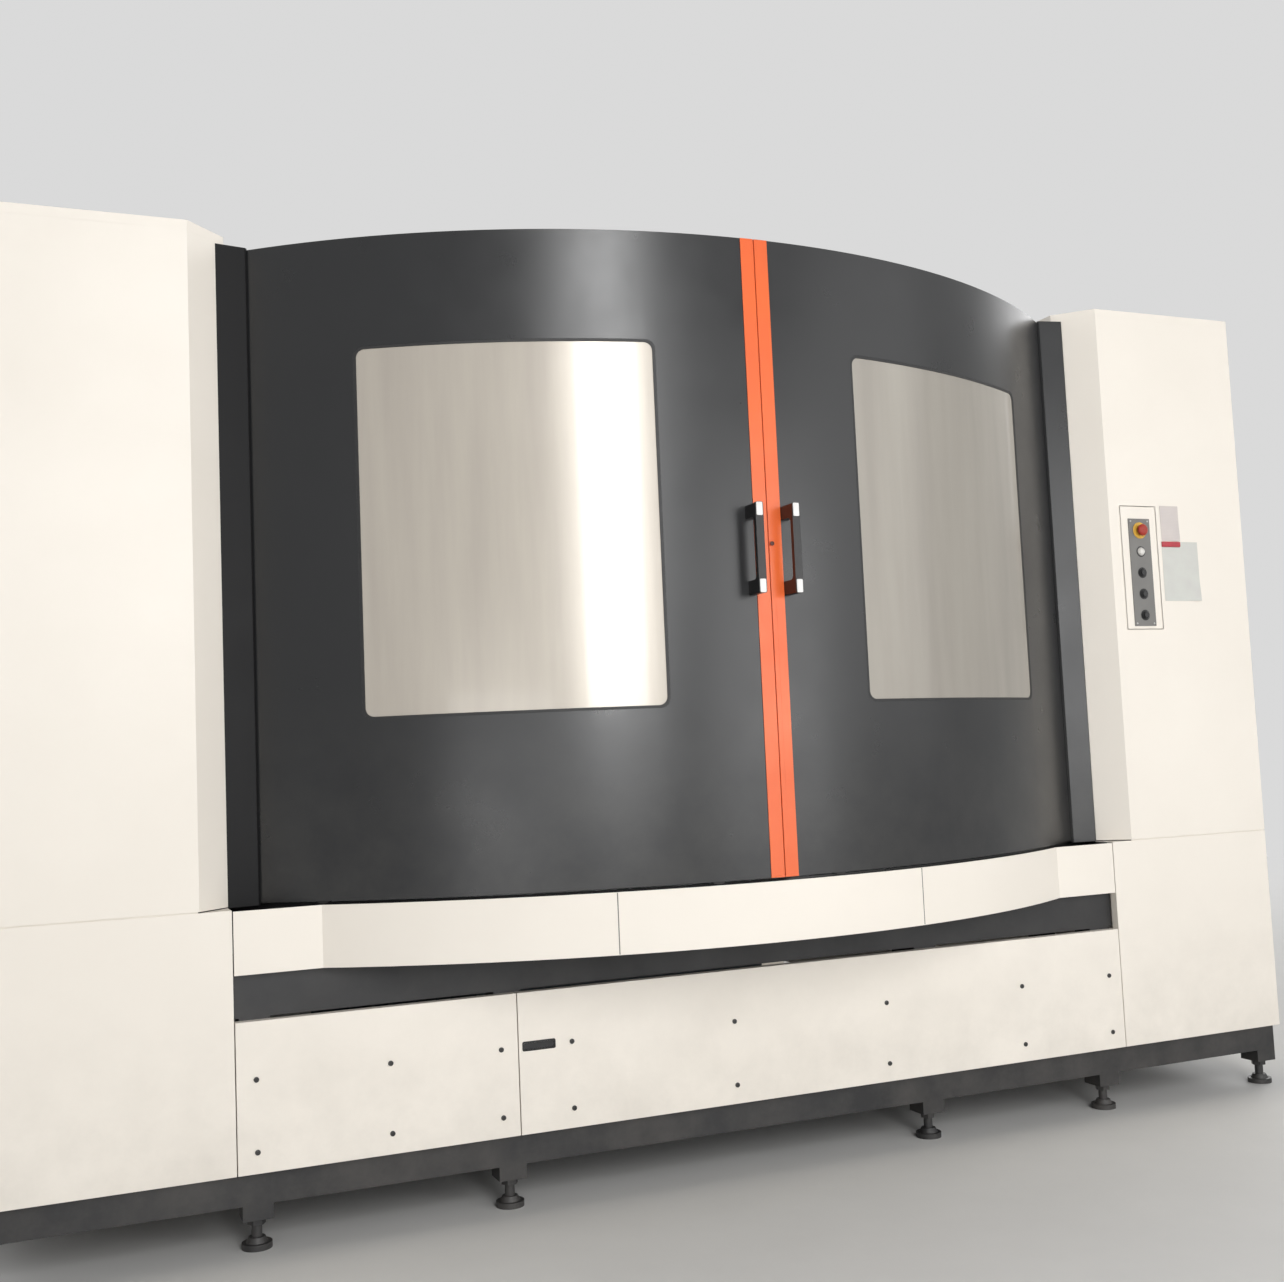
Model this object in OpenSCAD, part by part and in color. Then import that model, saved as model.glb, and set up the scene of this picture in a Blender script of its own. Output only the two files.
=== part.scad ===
// Horizontal machining centre with a rotary pallet changer behind two curved sliding doors.
// Depths are measured from the front face of the two columns, heights from the floor.

/* [Enclosure] */
// Width over the two front columns
machine_w = 4280; // [4200:10:4400]
// Depth of the conveyor head and the tank behind the back wall
tail_d = 400; // [380:5:460]
// Clear width between the inner edges of the columns
column_gap = 2912; // [2880:2:2930]
// Depth of the two columns
column_d = 1300; // [1260:5:1340]
// Size of the sloped corner on each column
column_slope = 82; // [60:1:100]
// Thickness of the folded sheet
sheet_t = 3; // [2:0.5:4]
// Height of the lower edge of all covers
skirt_z = 207; // [205:1:240]
// Height of the lower front panels
skirt_h = 393; // [340:1:420]
// Place of the seam between the lower front panels
skirt_seam_x = -681; // [-800:1:-500]
// Gap at the seams between cover panels
panel_gap = 3; // [2:0.5:5]
// Height of the rim round the roof panels
rim_h = 28; // [20:1:36]
// How far the column caps reach past the columns' inner edges
cap_overhang = 26; // [20:1:32]
// Width of the enclosure behind the columns
work_w = 3000; // [2960:10:3040]
// Inner width between the lining walls
lining_w = 2880; // [2860:2:2890]
// Depth where the lining walls end
lining_end_d = 2760; // [2650:10:2790]
// Clear depth between the bed and the back wall
back_space = 140; // [120:5:170]
// Width from the centre to the tool magazine housing's outer wall
magazine_wall_x = 2100; // [2080:5:2130]
// Clear depth between the magazine housing's front wall and the spindle nose
magazine_gap = 250; // [200:5:255]

/* [Doors] */
// Outer radius of the curved doors
door_r = 2216; // [2200:1:2240]
// How far the seam of the doors stands out in front of the columns
door_bulge = 366; // [356:1:371]
// Height of the doors' lower edge
door_z = 900; // [895:1:910]
// Height of the doors
door_h = 1830; // [1800:5:1850]
// Angle from the seam to each door's outer edge
door_angle = 38.2; // [38:0.1:38.4]
// Thickness of the door skin
door_skin = 4; // [3:0.5:5]
// Thickness of each door leaf over its flanges
leaf_d = 50; // [46:1:54]
// Gap between the closed doors
seam_gap = 3; // [2:0.5:5]
// Width of each edge trim
trim_w = 43; // [36:1:50]
// How far the edge trims stand proud of the skin
trim_proud = 2; // [1:0.5:4]
// Width across each window
window_w = 840; // [760:5:860]
// Height of each window
window_h = 1035; // [900:5:1100]
// Height of a window's lower edge above the door's
window_sill = 483; // [420:1:520]
// Angle from the seam to the middle of each window
window_angle = 19.1; // [18.6:0.1:19.6]
// Corner radius of the windows
window_corner = 28; // [20:1:40]
// Width of the rubber seal round each pane
seal_w = 8; // [6:1:12]
// Thickness of the panes
pane_t = 8; // [5:1:10]
// Angles from the seam to the two rollers of each door
roller_angles = [5, 33.5];
// Radius of the rollers' tread
roller_r = 30; // [27:0.5:32]
// Radius of the roller axles
axle_r = 6; // [5:0.5:8]
// Height of the rail that the rollers run on
rail_h = 11; // [10:0.5:12]
// Width of that rail
rail_w = 12; // [10:0.5:14]

/* [Handles] */
// Distance between the middles of a handle's two blocks
handle_pitch = 217; // [180:1:240]
// Reach of a handle from the door skin
handle_reach = 68; // [62:1:76]
// Width of a handle
handle_w = 24; // [20:1:28]
// Thickness of a handle's grip
handle_t = 14; // [12:1:18]
// Height of the block at each end of a handle
handle_block_h = 40; // [34:1:46]
// Angle from the seam to a handle
handle_angle = 1.45; // [1.45:0.05:1.8]
// Height of a handle's middle above the door's lower edge
handle_z = 920; // [850:1:1000]

/* [Button strip] */
// Width of the strip
strip_w = 93; // [86:1:110]
// Height of the strip
strip_h = 380; // [360:1:420]
// Distance of the strip's middle from the machine's middle
strip_x = 1665; // [1640:1:1750]
// Height of the strip's middle above the doors' lower edge
strip_z = 923; // [880:1:960]
// Thickness of the strip's plate
strip_t = 3; // [2:0.5:5]
// Distance between neighbouring controls
control_pitch = 75; // [70:1:80]
// Radius of a push button
button_r = 11; // [9:0.5:12]
// Travel of a push button
button_travel = 4; // [3:0.5:5]
// Radius of the emergency stop's mushroom head
stop_r = 20; // [18:0.5:24]
// Radius of the emergency stop's collar
collar_r = 29; // [27:0.5:34]
// Travel of the emergency stop
stop_travel = 5; // [4:0.5:6]

/* [Pallet changer] */
// Depth of the changer's pivot
pivot_d = 1100; // [1095:1:1105]
// Side of a square pallet
pallet_w = 800; // [760:5:810]
// Thickness of a pallet
pallet_t = 100; // [80:1:120]
// Distance of a pallet's middle from the pivot
pallet_reach = 850; // [845:1:860]
// Height of the raised pallets' underside
pallet_z = 1140; // [1135:1:1160]
// How far the changer lowers the pallets
lift_h = 40; // [30:1:40]
// Thickness of the fork prongs
fork_t = 36; // [30:1:38]
// Width of a fork prong
prong_w = 60; // [50:1:70]
// Width of the wall beside the partition
partition_side = 45; // [43:1:60]
// Thickness of the partition
partition_t = 60; // [50:1:70]
// Height of the partition's upper edge
partition_top = 2640; // [2600:5:2645]
// Gap round the partition in its wall
partition_gap = 10; // [8:1:14]
// Thickness of the wall that the partition turns in
bulkhead_t = 40; // [30:1:44]

/* [Machine] */
// Height of the bed's underside
bed_z = 80; // [70:1:90]
// Height of the bed
bed_h = 620; // [600:5:640]
// Width of the bed's front leg
leg_w = 1100; // [1080:5:1110]
// Width of the bed's back part
cross_w = 2000; // [1960:10:2006]
// Depth of the bed's back part, front to back
cross_d = 960; // [950:5:990]
// Height of the guide ways
way_h = 60; // [50:1:70]
// Width of the guide ways
way_w = 70; // [60:1:80]
// Width of the column
upright_w = 900; // [860:5:920]
// Height of the column's top
upright_top = 2640; // [2600:5:2660]
// Height of the spindle's middle at rest
spindle_z = 1650; // [1640:1:1660]
// Radius of the spindle
spindle_r = 70; // [60:1:80]
// Width of the spindle head
head_w = 530; // [530:5:560]
// Height of the spindle head
head_h = 560; // [500:5:600]
// Radius of the feed screws
screw_r = 25; // [20:1:28]
// Radius of the rotary table
table_r = 300; // [280:5:305]
// Height of the rotary table's top
table_top = 1080; // [1078:1:1082]

/* [Tool changer] */
// Radius of the pots' circle on the magazine disc
pot_circle = 400; // [380:5:410]
// Number of tool pots
pot_count = 20; // [12:1:20]
// Distance of the exchange arm's pivot from the spindle's end position
arm_reach = 400; // [390:1:410]

/* [Back and side] */
// Width of the electrical cabinet, front to back
cabinet_w = 900; // [800:10:960]
// Depth of the electrical cabinet
cabinet_t = 560; // [500:10:580]
// Height of the electrical cabinet's top
cabinet_top = 2400; // [2200:10:2600]
// Width of the operator door
side_door_w = 860; // [800:10:880]
// Height of the operator door
side_door_h = 1250; // [1150:10:1300]
// Width of the control panel
panel_w = 420; // [380:5:440]
// Height of the control panel
panel_h = 720; // [640:5:760]
// Thickness of the control panel
panel_t = 110; // [90:1:120]
// Width of the chip conveyor
conveyor_w = 380; // [340:5:384]
// Height of the coolant tank's lid
tank_top = 480; // [420:5:520]

/* [Hidden] */
$fn = 48;
// Facets to a full turn on the wide door curves
arc_fn = 360;
// Running clearance round a shaft
run_gap = 0.08;
// Clearance where one piece rests on or slides over another
seat_gap = 0.3;

cross_front = 3200;
nose_d = 3050;
magazine_wall_d = nose_d - magazine_gap;
door_axis_d = door_r - door_bulge;
back_d = cross_front + cross_d + back_space;
body_d = back_d + tail_d;
half_w = machine_w / 2;
edge_x = column_gap / 2;
lining_x = lining_w / 2;
work_x = work_w / 2;
partition_w = lining_w - 2 * (partition_side + partition_gap);
door_top = door_z + door_h;
rim_z = door_top + 4;
roof_z = rim_z + rim_h;
sill_z = door_z - 10;
apron_h = 168;
handle_out = (door_r + handle_reach) * cos(handle_angle) + handle_w / 2 * sin(handle_angle);
front_y = -(body_d - (handle_out - door_axis_d)) / 2;
degree = 180 / PI;
trim_a = trim_w / door_r * degree;
seam_a = seam_gap / 2 / door_r * degree;

// Moves a piece from depths behind the columns' front face to its place about the origin.
module placed() {
    translate([0, front_y, 0]) children();
}

// Turns to a place on the door circle, an angle to the right of the seam, with -Y pointing outward.
module at_door(angle) {
    translate([0, door_axis_d, 0]) rotate([0, 0, angle]) children();
}

// Part of a ring about the door axis, between two angles to the right of the seam.
module ring(inner, outer, from, to, low, high) {
    at_door(from - 90) rotate_extrude(angle = to - from, $fn = arc_fn)
        translate([inner, low]) square([outer - inner, high - low]);
}

function unit(v) = v / norm(v);
function left_of(v) = [-v[1], v[0]];
// The other face of a sheet folded along an open path, its thickness to the left of the path.
function fold_face(path, t) = [
    for (i = [0:len(path) - 1])
        let (
            last = len(path) - 1,
            a = unit(i > 0 ? path[i] - path[i - 1] : path[1] - path[0]),
            b = unit(i < last ? path[i + 1] - path[i] : path[last] - path[last - 1]),
            n = left_of(a) + left_of(b)
        )
        path[i] + n * t / (1 + left_of(a) * left_of(b))
];
// A closed outline moved inward, for an outline that runs anticlockwise.
function inset(outline, t) = [
    for (i = [0:len(outline) - 1])
        let (
            count = len(outline),
            a = unit(outline[i] - outline[(i + count - 1) % count]),
            b = unit(outline[(i + 1) % count] - outline[i])
        )
        outline[i] + (left_of(a) + left_of(b)) * t / (1 + left_of(a) * left_of(b))
];
function backwards(list) = [for (i = [len(list) - 1:-1:0]) list[i]];
// Depth of a circle about the door axis at a distance from the machine's middle.
function arc_front(x, r) = door_axis_d - sqrt(r * r - x * x);

module folded(path, low, high, t = sheet_t) {
    translate([0, 0, low]) linear_extrude(high - low)
        polygon(concat(path, backwards(fold_face(path, t))));
}

module slab(outline, low, high) {
    translate([0, 0, low]) linear_extrude(high - low) polygon(outline);
}

module block(low, high) {
    translate(low) cube(high - low);
}

module rounded(w, h, r) {
    square([w - 2 * r, h], center = true);
    square([w, h - 2 * r], center = true);
    for (x = [-1, 1], y = [-1, 1])
        translate([x * (w / 2 - r), y * (h / 2 - r)]) circle(r);
}

// A sheet tray turned upside down: a plate with a rim hanging from its edge.
module lid_panel(outline) {
    slab(outline, roof_z - sheet_t, roof_z);
    difference() {
        slab(outline, rim_z, roof_z - sheet_t);
        slab(inset(outline, sheet_t), rim_z - 1, roof_z);
    }
}

module both_sides() {
    children();
    mirror([1, 0, 0]) children();
}

/* Bed, feet and front frame */

bed_top = bed_z + bed_h;
way_top = bed_top + way_h;
leg_front = 900;
cross_back = cross_front + cross_d;
cast_wall = 60;
trough_w = 150;
trough_h = 120;
screw_drop = 10;
screw_z = bed_top - screw_drop;
leg_way_x = 390;
cross_way_d = [3380, 4040];
x_screw_d = (cross_way_d[0] + cross_way_d[1]) / 2;
way_front = 1400;
z_screw_from = 1560;
wall_t = 45;
motor_w = 140;
motor_l = 230;
leg_ribs = 4;
leg_pitch = (cross_front - leg_front - cast_wall) / leg_ribs;

module bed() {
    pocket_h = bed_h - 2 * cast_wall;
    cell_top = bed_top - trough_h - cast_wall;
    color("lightslategray") placed() difference() {
        union() {
            block([-leg_w / 2, leg_front, bed_z], [leg_w / 2, cross_front + 1, bed_top]);
            block([-cross_w / 2, cross_front, bed_z], [cross_w / 2, cross_back, bed_top]);
            both_sides()
                block([leg_way_x - way_w / 2, way_front, bed_top - 1],
                      [leg_way_x + way_w / 2, cross_front - 40, way_top]);
            for (d = cross_way_d)
                block([-cross_w / 2, d - way_w / 2, bed_top - 1],
                      [cross_w / 2, d + way_w / 2, way_top]);
        }
        both_sides() {
            // Shallow pockets between the ribs on both sides
            for (i = [0:leg_ribs - 1])
                translate([leg_w / 2 - cast_wall, leg_front + (i + 0.5) * leg_pitch + cast_wall / 2,
                           bed_z + bed_h / 2])
                    rotate([90, 0, 90]) linear_extrude(200) rounded(leg_pitch - cast_wall, pocket_h, 50);
            // Cells open to the floor
            for (i = [0, leg_ribs / 2])
                block([cast_wall / 2, leg_front + i * leg_pitch + cast_wall, bed_z - 1],
                      [leg_w / 2 - 2 * cast_wall, leg_front + (i + leg_ribs / 2) * leg_pitch, cell_top]);
            block([cast_wall / 2, cross_front + cast_wall, bed_z - 1],
                  [cross_w / 2 - cast_wall, cross_back - cast_wall, cell_top]);
        }
        // Troughs for the two feed screws, with a bearing wall at each end
        block([-trough_w / 2, z_screw_from - wall_t - motor_l, bed_top - trough_h],
              [trough_w / 2, z_screw_from - wall_t, bed_top + 1]);
        block([-trough_w / 2, z_screw_from, bed_top - trough_h],
              [trough_w / 2, cross_front - wall_t, bed_top + 1]);
        translate([0, z_screw_from + 1, screw_z]) rotate([90, 0, 0])
            cylinder(h = wall_t + 2, r = screw_r * 0.6 + run_gap);
        block([-cross_w / 2 + wall_t, x_screw_d - trough_w / 2, bed_top - trough_h],
              [cross_w / 2 - wall_t, x_screw_d + trough_w / 2, bed_top + 1]);
        translate([cross_w / 2 - wall_t - 1, x_screw_d, screw_z]) rotate([0, 90, 0])
            cylinder(h = wall_t + 2, r = screw_r * 0.6 + run_gap);
    }
}

frame_tube = 80;
frame_front = 30;
post_x = half_w - sheet_t - frame_tube;
rear_post_d = column_d - sheet_t - frame_tube;
inner_post_x = 1360;
seat_post_x = 660;
beam_top = door_z - 48;
beam_x = [450, 900, 1330];
track_w = 50;
track_out = door_r - 8;
track_in = track_out - track_w;
track_margin = 65;
track_a = asin((half_w - track_margin) / track_out);

module levelling_feet() {
    foot_r = frame_tube / 2;
    rib = cast_wall / 2;
    bed_spots = [[leg_w / 2 - rib, leg_front + rib], [leg_w / 2 - rib, leg_front + 2 * leg_pitch + rib],
                 [cross_w / 2 - rib, cross_front + rib], [cross_w / 2 - rib, cross_back - rib]];
    frame_spots = [for (x = [post_x, inner_post_x, seat_post_x]) [x + frame_tube / 2,
                   frame_front + frame_tube / 2]];
    rear_spots = [for (x = [post_x, inner_post_x]) [x + frame_tube / 2, rear_post_d + frame_tube / 2]];
    color("dimgray") placed() both_sides() for (p = concat(bed_spots, frame_spots, rear_spots))
        translate([p[0], p[1], 0]) {
            cylinder(h = 16, r = foot_r);
            cylinder(h = 30, r1 = foot_r - 2, r2 = 22);
            cylinder(h = bed_z, r = 14);
            translate([0, 0, bed_z - 18]) cylinder(h = 18, r = 24, $fn = 6);
        }
}

module front_frame() {
    t = frame_tube;
    tie_z = 120;
    color("#1d1d1f") placed() {
        // Curved plate under the door track
        ring(track_in, track_out, -track_a, track_a, beam_top - 2, beam_top + 20);
        both_sides() {
            for (x = beam_x)
                block([x - t / 2, arc_front(x + t / 2, track_out - 2), beam_top - t],
                      [x + t / 2, rear_post_d, beam_top]);
            block([beam_x[0], frame_front, beam_top - t], [half_w - sheet_t, frame_front + t, beam_top]);
            block([post_x, frame_front, bed_z], [post_x + t, frame_front + t, beam_top]);
            block([post_x, rear_post_d, bed_z], [post_x + t, rear_post_d + t, beam_top]);
            block([inner_post_x, frame_front, bed_z], [inner_post_x + t, frame_front + t, beam_top]);
            block([inner_post_x, rear_post_d, bed_z], [inner_post_x + t, rear_post_d + t, beam_top]);
            block([seat_post_x, frame_front, bed_z], [seat_post_x + t, frame_front + t, beam_top - 1]);
            block([inner_post_x, rear_post_d, beam_top - t], [post_x + t, rear_post_d + t, beam_top]);
            block([beam_x[0] - t / 2, rear_post_d - t, beam_top - t],
                  [inner_post_x + 1, rear_post_d, beam_top]);
            block([post_x, frame_front, beam_top - t], [post_x + t, rear_post_d + t, beam_top]);
            // Ties near the floor
            for (x = [post_x, inner_post_x])
                block([x, frame_front, tie_z], [x + t, rear_post_d + t, tie_z + t]);
            block([0, frame_front, tie_z], [post_x + t, frame_front + t, tie_z + t]);
        }
        // Cross member under the changer's base, and the dark plate behind the recess
        block([-seat_post_x - 1, frame_front, bed_top - t], [seat_post_x + 1, frame_front + t, bed_top]);
        block([-edge_x + panel_gap, frame_front, skirt_z + skirt_h + 6],
              [edge_x - panel_gap, frame_front + sheet_t, apron_z]);
    }
}

/* Covers */

// Upper and lower panels of the right column, joined by a backing strip at their seam
module column_cover() {
    s = column_slope;
    low_top = sill_z + 3;
    upper = [[edge_x, s + 30], [edge_x, s], [edge_x + s, 0], [half_w, 0], [half_w, column_d],
             [work_x, column_d]];
    lower = [[edge_x, frame_front - 1], [edge_x, 0], [half_w, 0], [half_w, column_d],
             [work_x, column_d]];
    inner = [[edge_x + s + sheet_t, sheet_t], [half_w - sheet_t, sheet_t],
             [half_w - sheet_t, column_d - sheet_t], [work_x + sheet_t, column_d - sheet_t]];
    folded(lower, skirt_z, low_top);
    folded(upper, low_top + panel_gap, rim_z);
    folded(inner, low_top - 15, low_top + panel_gap + 15);
    slab([[edge_x, 0], [edge_x + s + sheet_t, 0], [edge_x + sheet_t, s + 2 * sheet_t],
          [edge_x, s + 2 * sheet_t]], low_top - sheet_t, low_top);
    // Flanges that stiffen the lower edge
    slab([[edge_x + 1, 1], [half_w - 1, 1], [half_w - 1, frame_front - 1], [edge_x + 1, frame_front - 1]],
         skirt_z, skirt_z + sheet_t);
}

module left_column_cover() {
    color("#f3eee6") placed() mirror([1, 0, 0]) column_cover();
}

strip_mid = door_z + strip_z;
strip_box_w = strip_w - 18;
strip_box_h = strip_h - 24;

module right_column_cover() {
    color("#f3eee6") placed() difference() {
        union() {
            column_cover();
            panel_bracket();
        }
        translate([strip_x - strip_box_w / 2, -1, strip_mid - strip_box_h / 2])
            cube([strip_box_w, sheet_t + 2, strip_box_h]);
    }
}

cap_x = edge_x - cap_overhang;

module roof_panels() {
    g = panel_gap;
    s = column_slope;
    color("#f3eee6") placed() {
        // Caps of the columns, along their sloped corners
        both_sides()
            lid_panel([[edge_x + s, 0], [half_w, 0], [half_w, column_d], [cap_x, column_d],
                       [cap_x, s + cap_overhang]]);
        lid_panel([[-cap_x + g, pivot_d - 60], [cap_x - g, pivot_d - 60], [cap_x - g, column_d + g],
                   [work_x, column_d + g], [work_x, back_d], [-magazine_wall_x, back_d],
                   [-magazine_wall_x, magazine_wall_d], [-work_x, magazine_wall_d],
                   [-work_x, column_d + g], [-cap_x + g, column_d + g]]);
    }
}

jamb_out = 9;
jamb_a = door_angle - 0.1;

module door_frame() {
    tip_x = (door_r + jamb_out) * sin(jamb_a);
    tip_d = arc_front(tip_x, door_r + jamb_out);
    edge_d = column_slope + 2;
    color("#26272a") placed() {
        ring(track_in + 2, track_out - 2, -track_a, track_a, beam_top + 20, rail_foot);
        ring(rail_mid_r - rail_w / 2, rail_mid_r + rail_w / 2, -track_a, track_a, rail_foot - 1, rail_top);
        both_sides() {
            slab([[tip_x, tip_d], [edge_x, edge_d], [edge_x, edge_d + sheet_t], [tip_x, tip_d + sheet_t]],
                 sill_z + 3, rim_z);
            // Wiper between the jamb and the door
            ring(door_r + seat_gap, door_r + jamb_out - 1, jamb_a - 0.02, jamb_a + 0.06, sill_z + 3, rim_z);
        }
    }
}

apron_z = sill_z - apron_h;

module front_apron() {
    plane_a = acos(door_axis_d / door_r);
    plane_x = door_r * sin(plane_a);
    lip = 45;
    color("#f3eee6") placed() {
        ring(door_r - sheet_t, door_r, -plane_a, plane_a, apron_z, sill_z);
        // Lower flange, and the flat wings that reach the columns
        ring(door_r - lip, door_r - sheet_t / 2, -plane_a, plane_a, apron_z, apron_z + sheet_t);
        ring(track_out, door_r - sheet_t / 2, -plane_a, plane_a, beam_top + 8, beam_top + 8 + sheet_t);
        both_sides() {
            block([plane_x - 8, 0, apron_z], [edge_x - panel_gap, sheet_t, sill_z]);
            block([plane_x, 0, apron_z], [edge_x - panel_gap, frame_front, apron_z + sheet_t]);
        }
    }
}

module skirt_panel(from, to) {
    block([from, 0, skirt_z], [to, sheet_t, skirt_z + skirt_h]);
    block([from, 0, skirt_z], [to, frame_front, skirt_z + sheet_t]);
    block([from, 0, skirt_z + skirt_h - sheet_t], [to, frame_front, skirt_z + skirt_h]);
    block([from, 0, skirt_z], [from + sheet_t, frame_front - 2, skirt_z + skirt_h]);
    block([to - sheet_t, 0, skirt_z], [to, frame_front - 2, skirt_z + skirt_h]);
}

module skirt_panels() {
    slot_w = 90;
    slot_h = 18;
    slot_z = 450;
    color("#f3eee6") placed() {
        skirt_panel(-edge_x + panel_gap, skirt_seam_x - panel_gap / 2);
        difference() {
            skirt_panel(skirt_seam_x + panel_gap / 2, edge_x - panel_gap);
            // Finger slot beside the seam
            translate([skirt_seam_x + 16 + slot_w / 2, 0, slot_z]) rotate([90, 0, 0])
                linear_extrude(4 * sheet_t, center = true) rounded(slot_w, slot_h, 6);
        }
    }
}

tray_z = beam_top;
tray_r = track_in - 20;
lip_a = asin((lining_x + sheet_t / 2) / tray_r);
side_opening_d = 1760;
side_opening_z = 1000;
side_lap = 60;
side_opening = [[side_opening_d, side_opening_d + side_door_w - 2 * side_lap],
                [side_opening_z, side_opening_z + side_door_h - 2 * side_lap]];
duct_r = 110;
duct_z = 2300;

module station_lining() {
    floor_end = pivot_d - bulkhead_t / 2;
    start = arc_front(lining_x, track_in - 8);
    color("#aeb3b6") placed() {
        difference() {
            intersection() {
                translate([0, door_axis_d, tray_z])
                    cylinder(h = sheet_t, r = tray_r - sheet_t / 2, $fn = arc_fn);
                block([-lining_x - 1, -door_r, tray_z - 1], [lining_x + 1, floor_end, tray_z + 10]);
            }
            translate([0, pivot_d, tray_z - 1]) cylinder(h = 10, r = base_r + 8);
            translate([0, pivot_d - pallet_reach, tray_z - 1]) cylinder(h = 10, r = rest_r + 8);
        }
        ring(tray_r - sheet_t, tray_r, -lip_a, lip_a, tray_z, door_z - 8);
        mirror([1, 0, 0]) block([lining_x, start, tray_z], [lining_x + sheet_t, lining_end_d, rim_z]);
        // Four panels round the operator door's opening
        panels_round(lining_x, [start, lining_end_d], [tray_z, rim_z]);
    }
}

// Four sheets round the operator door's opening, with their left face at a distance from the middle.
module panels_round(x, across, up) {
    d = side_opening[0];
    z = side_opening[1];
    block([x, across[0], up[0]], [x + sheet_t, d[0], up[1]]);
    block([x, d[1], up[0]], [x + sheet_t, across[1], up[1]]);
    block([x, d[0] + seat_gap, up[0]], [x + sheet_t, d[1] - seat_gap, z[0]]);
    block([x, d[0] + seat_gap, z[1]], [x + sheet_t, d[1] - seat_gap, up[1]]);
}

rest_r = 190;
base_r = 180;
cone_r = 40;
cone_pitch = 400;
table_pads_top = pallet_z - lift_h - seat_gap;
fork_x = table_r + 30;
fork_top = pallet_z - seat_gap;
base_beam_t = 40;
lift_r = 120;
sleeve_top = 930;

module bulkhead() {
    open_x = partition_w / 2 + partition_gap;
    sill = 1010;
    color("#c9ccce") placed() difference() {
        block([-lining_x, pivot_d - bulkhead_t / 2, tray_z],
              [lining_x, pivot_d + bulkhead_t / 2, rim_z]);
        block([-open_x, 0, sill], [open_x, 2 * pivot_d, partition_top + 15]);
        block([-base_r - 12, 0, tray_z - 1], [base_r + 12, 2 * pivot_d, sill + 1]);
    }
}

cabinet_d0 = 3560;
cabinet_bottom = 100;
cabinet_x = work_x + cabinet_t;

module machine_covers() {
    frame_d = side_opening[0];
    frame_z = side_opening[1];
    reveal_x = lining_x + sheet_t;
    reveal_end = work_x - sheet_t - seat_gap;
    conveyor_side = conveyor_w / 2 + seat_gap;
    color("#f3eee6") placed() {
        // Right wall in panels round the operator door's opening, its reveal and two runners
        panels_round(work_x - sheet_t, [column_d - sheet_t, back_d - sheet_t - seat_gap], [skirt_z, rim_z]);
        for (z = [frame_z[0] - sheet_t, frame_z[1]])
            block([reveal_x, frame_d[0] - sheet_t, z], [reveal_end, frame_d[1] + sheet_t, z + sheet_t]);
        for (d = [frame_d[0] - sheet_t, frame_d[1]])
            block([reveal_x, d, frame_z[0] + seat_gap], [reveal_end, d + sheet_t, frame_z[1] - seat_gap]);
        for (z = [side_door_z - runner_h, side_door_z + side_door_h])
            block([work_x, side_door_d, z],
                  [work_x + runner_t, side_door_d + 2 * side_door_w - 20, z + runner_h]);
        // Outer wall of the magazine housing and back wall in one run
        difference() {
            folded([[-magazine_wall_x, magazine_wall_d], [-magazine_wall_x, back_d], [work_x, back_d]],
                   skirt_z, rim_z, -sheet_t);
            block([conveyor_x - conveyor_side, back_d - 2 * sheet_t, skirt_z - 1],
                  [conveyor_x + conveyor_side, back_d + 1, conveyor_head_z + 10]);
            translate([0, back_d, duct_z]) rotate([90, 0, 0])
                cylinder(h = 4 * sheet_t, r = duct_r, center = true);
        }
        // Left wall
        block([-work_x, column_d - sheet_t, skirt_z],
              [-work_x + sheet_t, magazine_wall_d - seat_gap, rim_z]);
        // Front wall of the magazine housing, with an opening for watching the magazine
        difference() {
            block([-magazine_wall_x + sheet_t + seat_gap, magazine_wall_d, skirt_z],
                  [-work_x + sheet_t, magazine_wall_d + sheet_t, rim_z]);
            translate([-(work_x + magazine_wall_x) / 2, magazine_wall_d, spindle_z]) rotate([90, 0, 0])
                linear_extrude(4 * sheet_t, center = true) rounded(watch_w, watch_h, watch_corner);
        }
        // Spigot and flange for the mist duct
        translate([0, back_d, duct_z]) rotate([-90, 0, 0]) rotate_extrude()
            polygon([[duct_r, 0], [duct_r + 30, 0], [duct_r + 30, 8], [duct_r + 4, 8], [duct_r + 4, 60],
                     [duct_r, 60]]);
    }
}

runner_h = 30;
runner_t = 24;
side_door_z = side_opening_z - side_lap;
side_door_d = side_opening_d - side_lap;
watch_w = 360;
watch_h = 560;
watch_corner = 30;
watch_lap = 60;
watch_t = 6;

module magazine_window() {
    color("#bcb5a9") placed()
        translate([-(work_x + magazine_wall_x) / 2, magazine_wall_d + sheet_t, spindle_z])
            rotate([-90, 0, 0]) linear_extrude(watch_t)
                rounded(watch_w + watch_lap, watch_h + watch_lap, watch_corner + watch_lap / 3);
}

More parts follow.
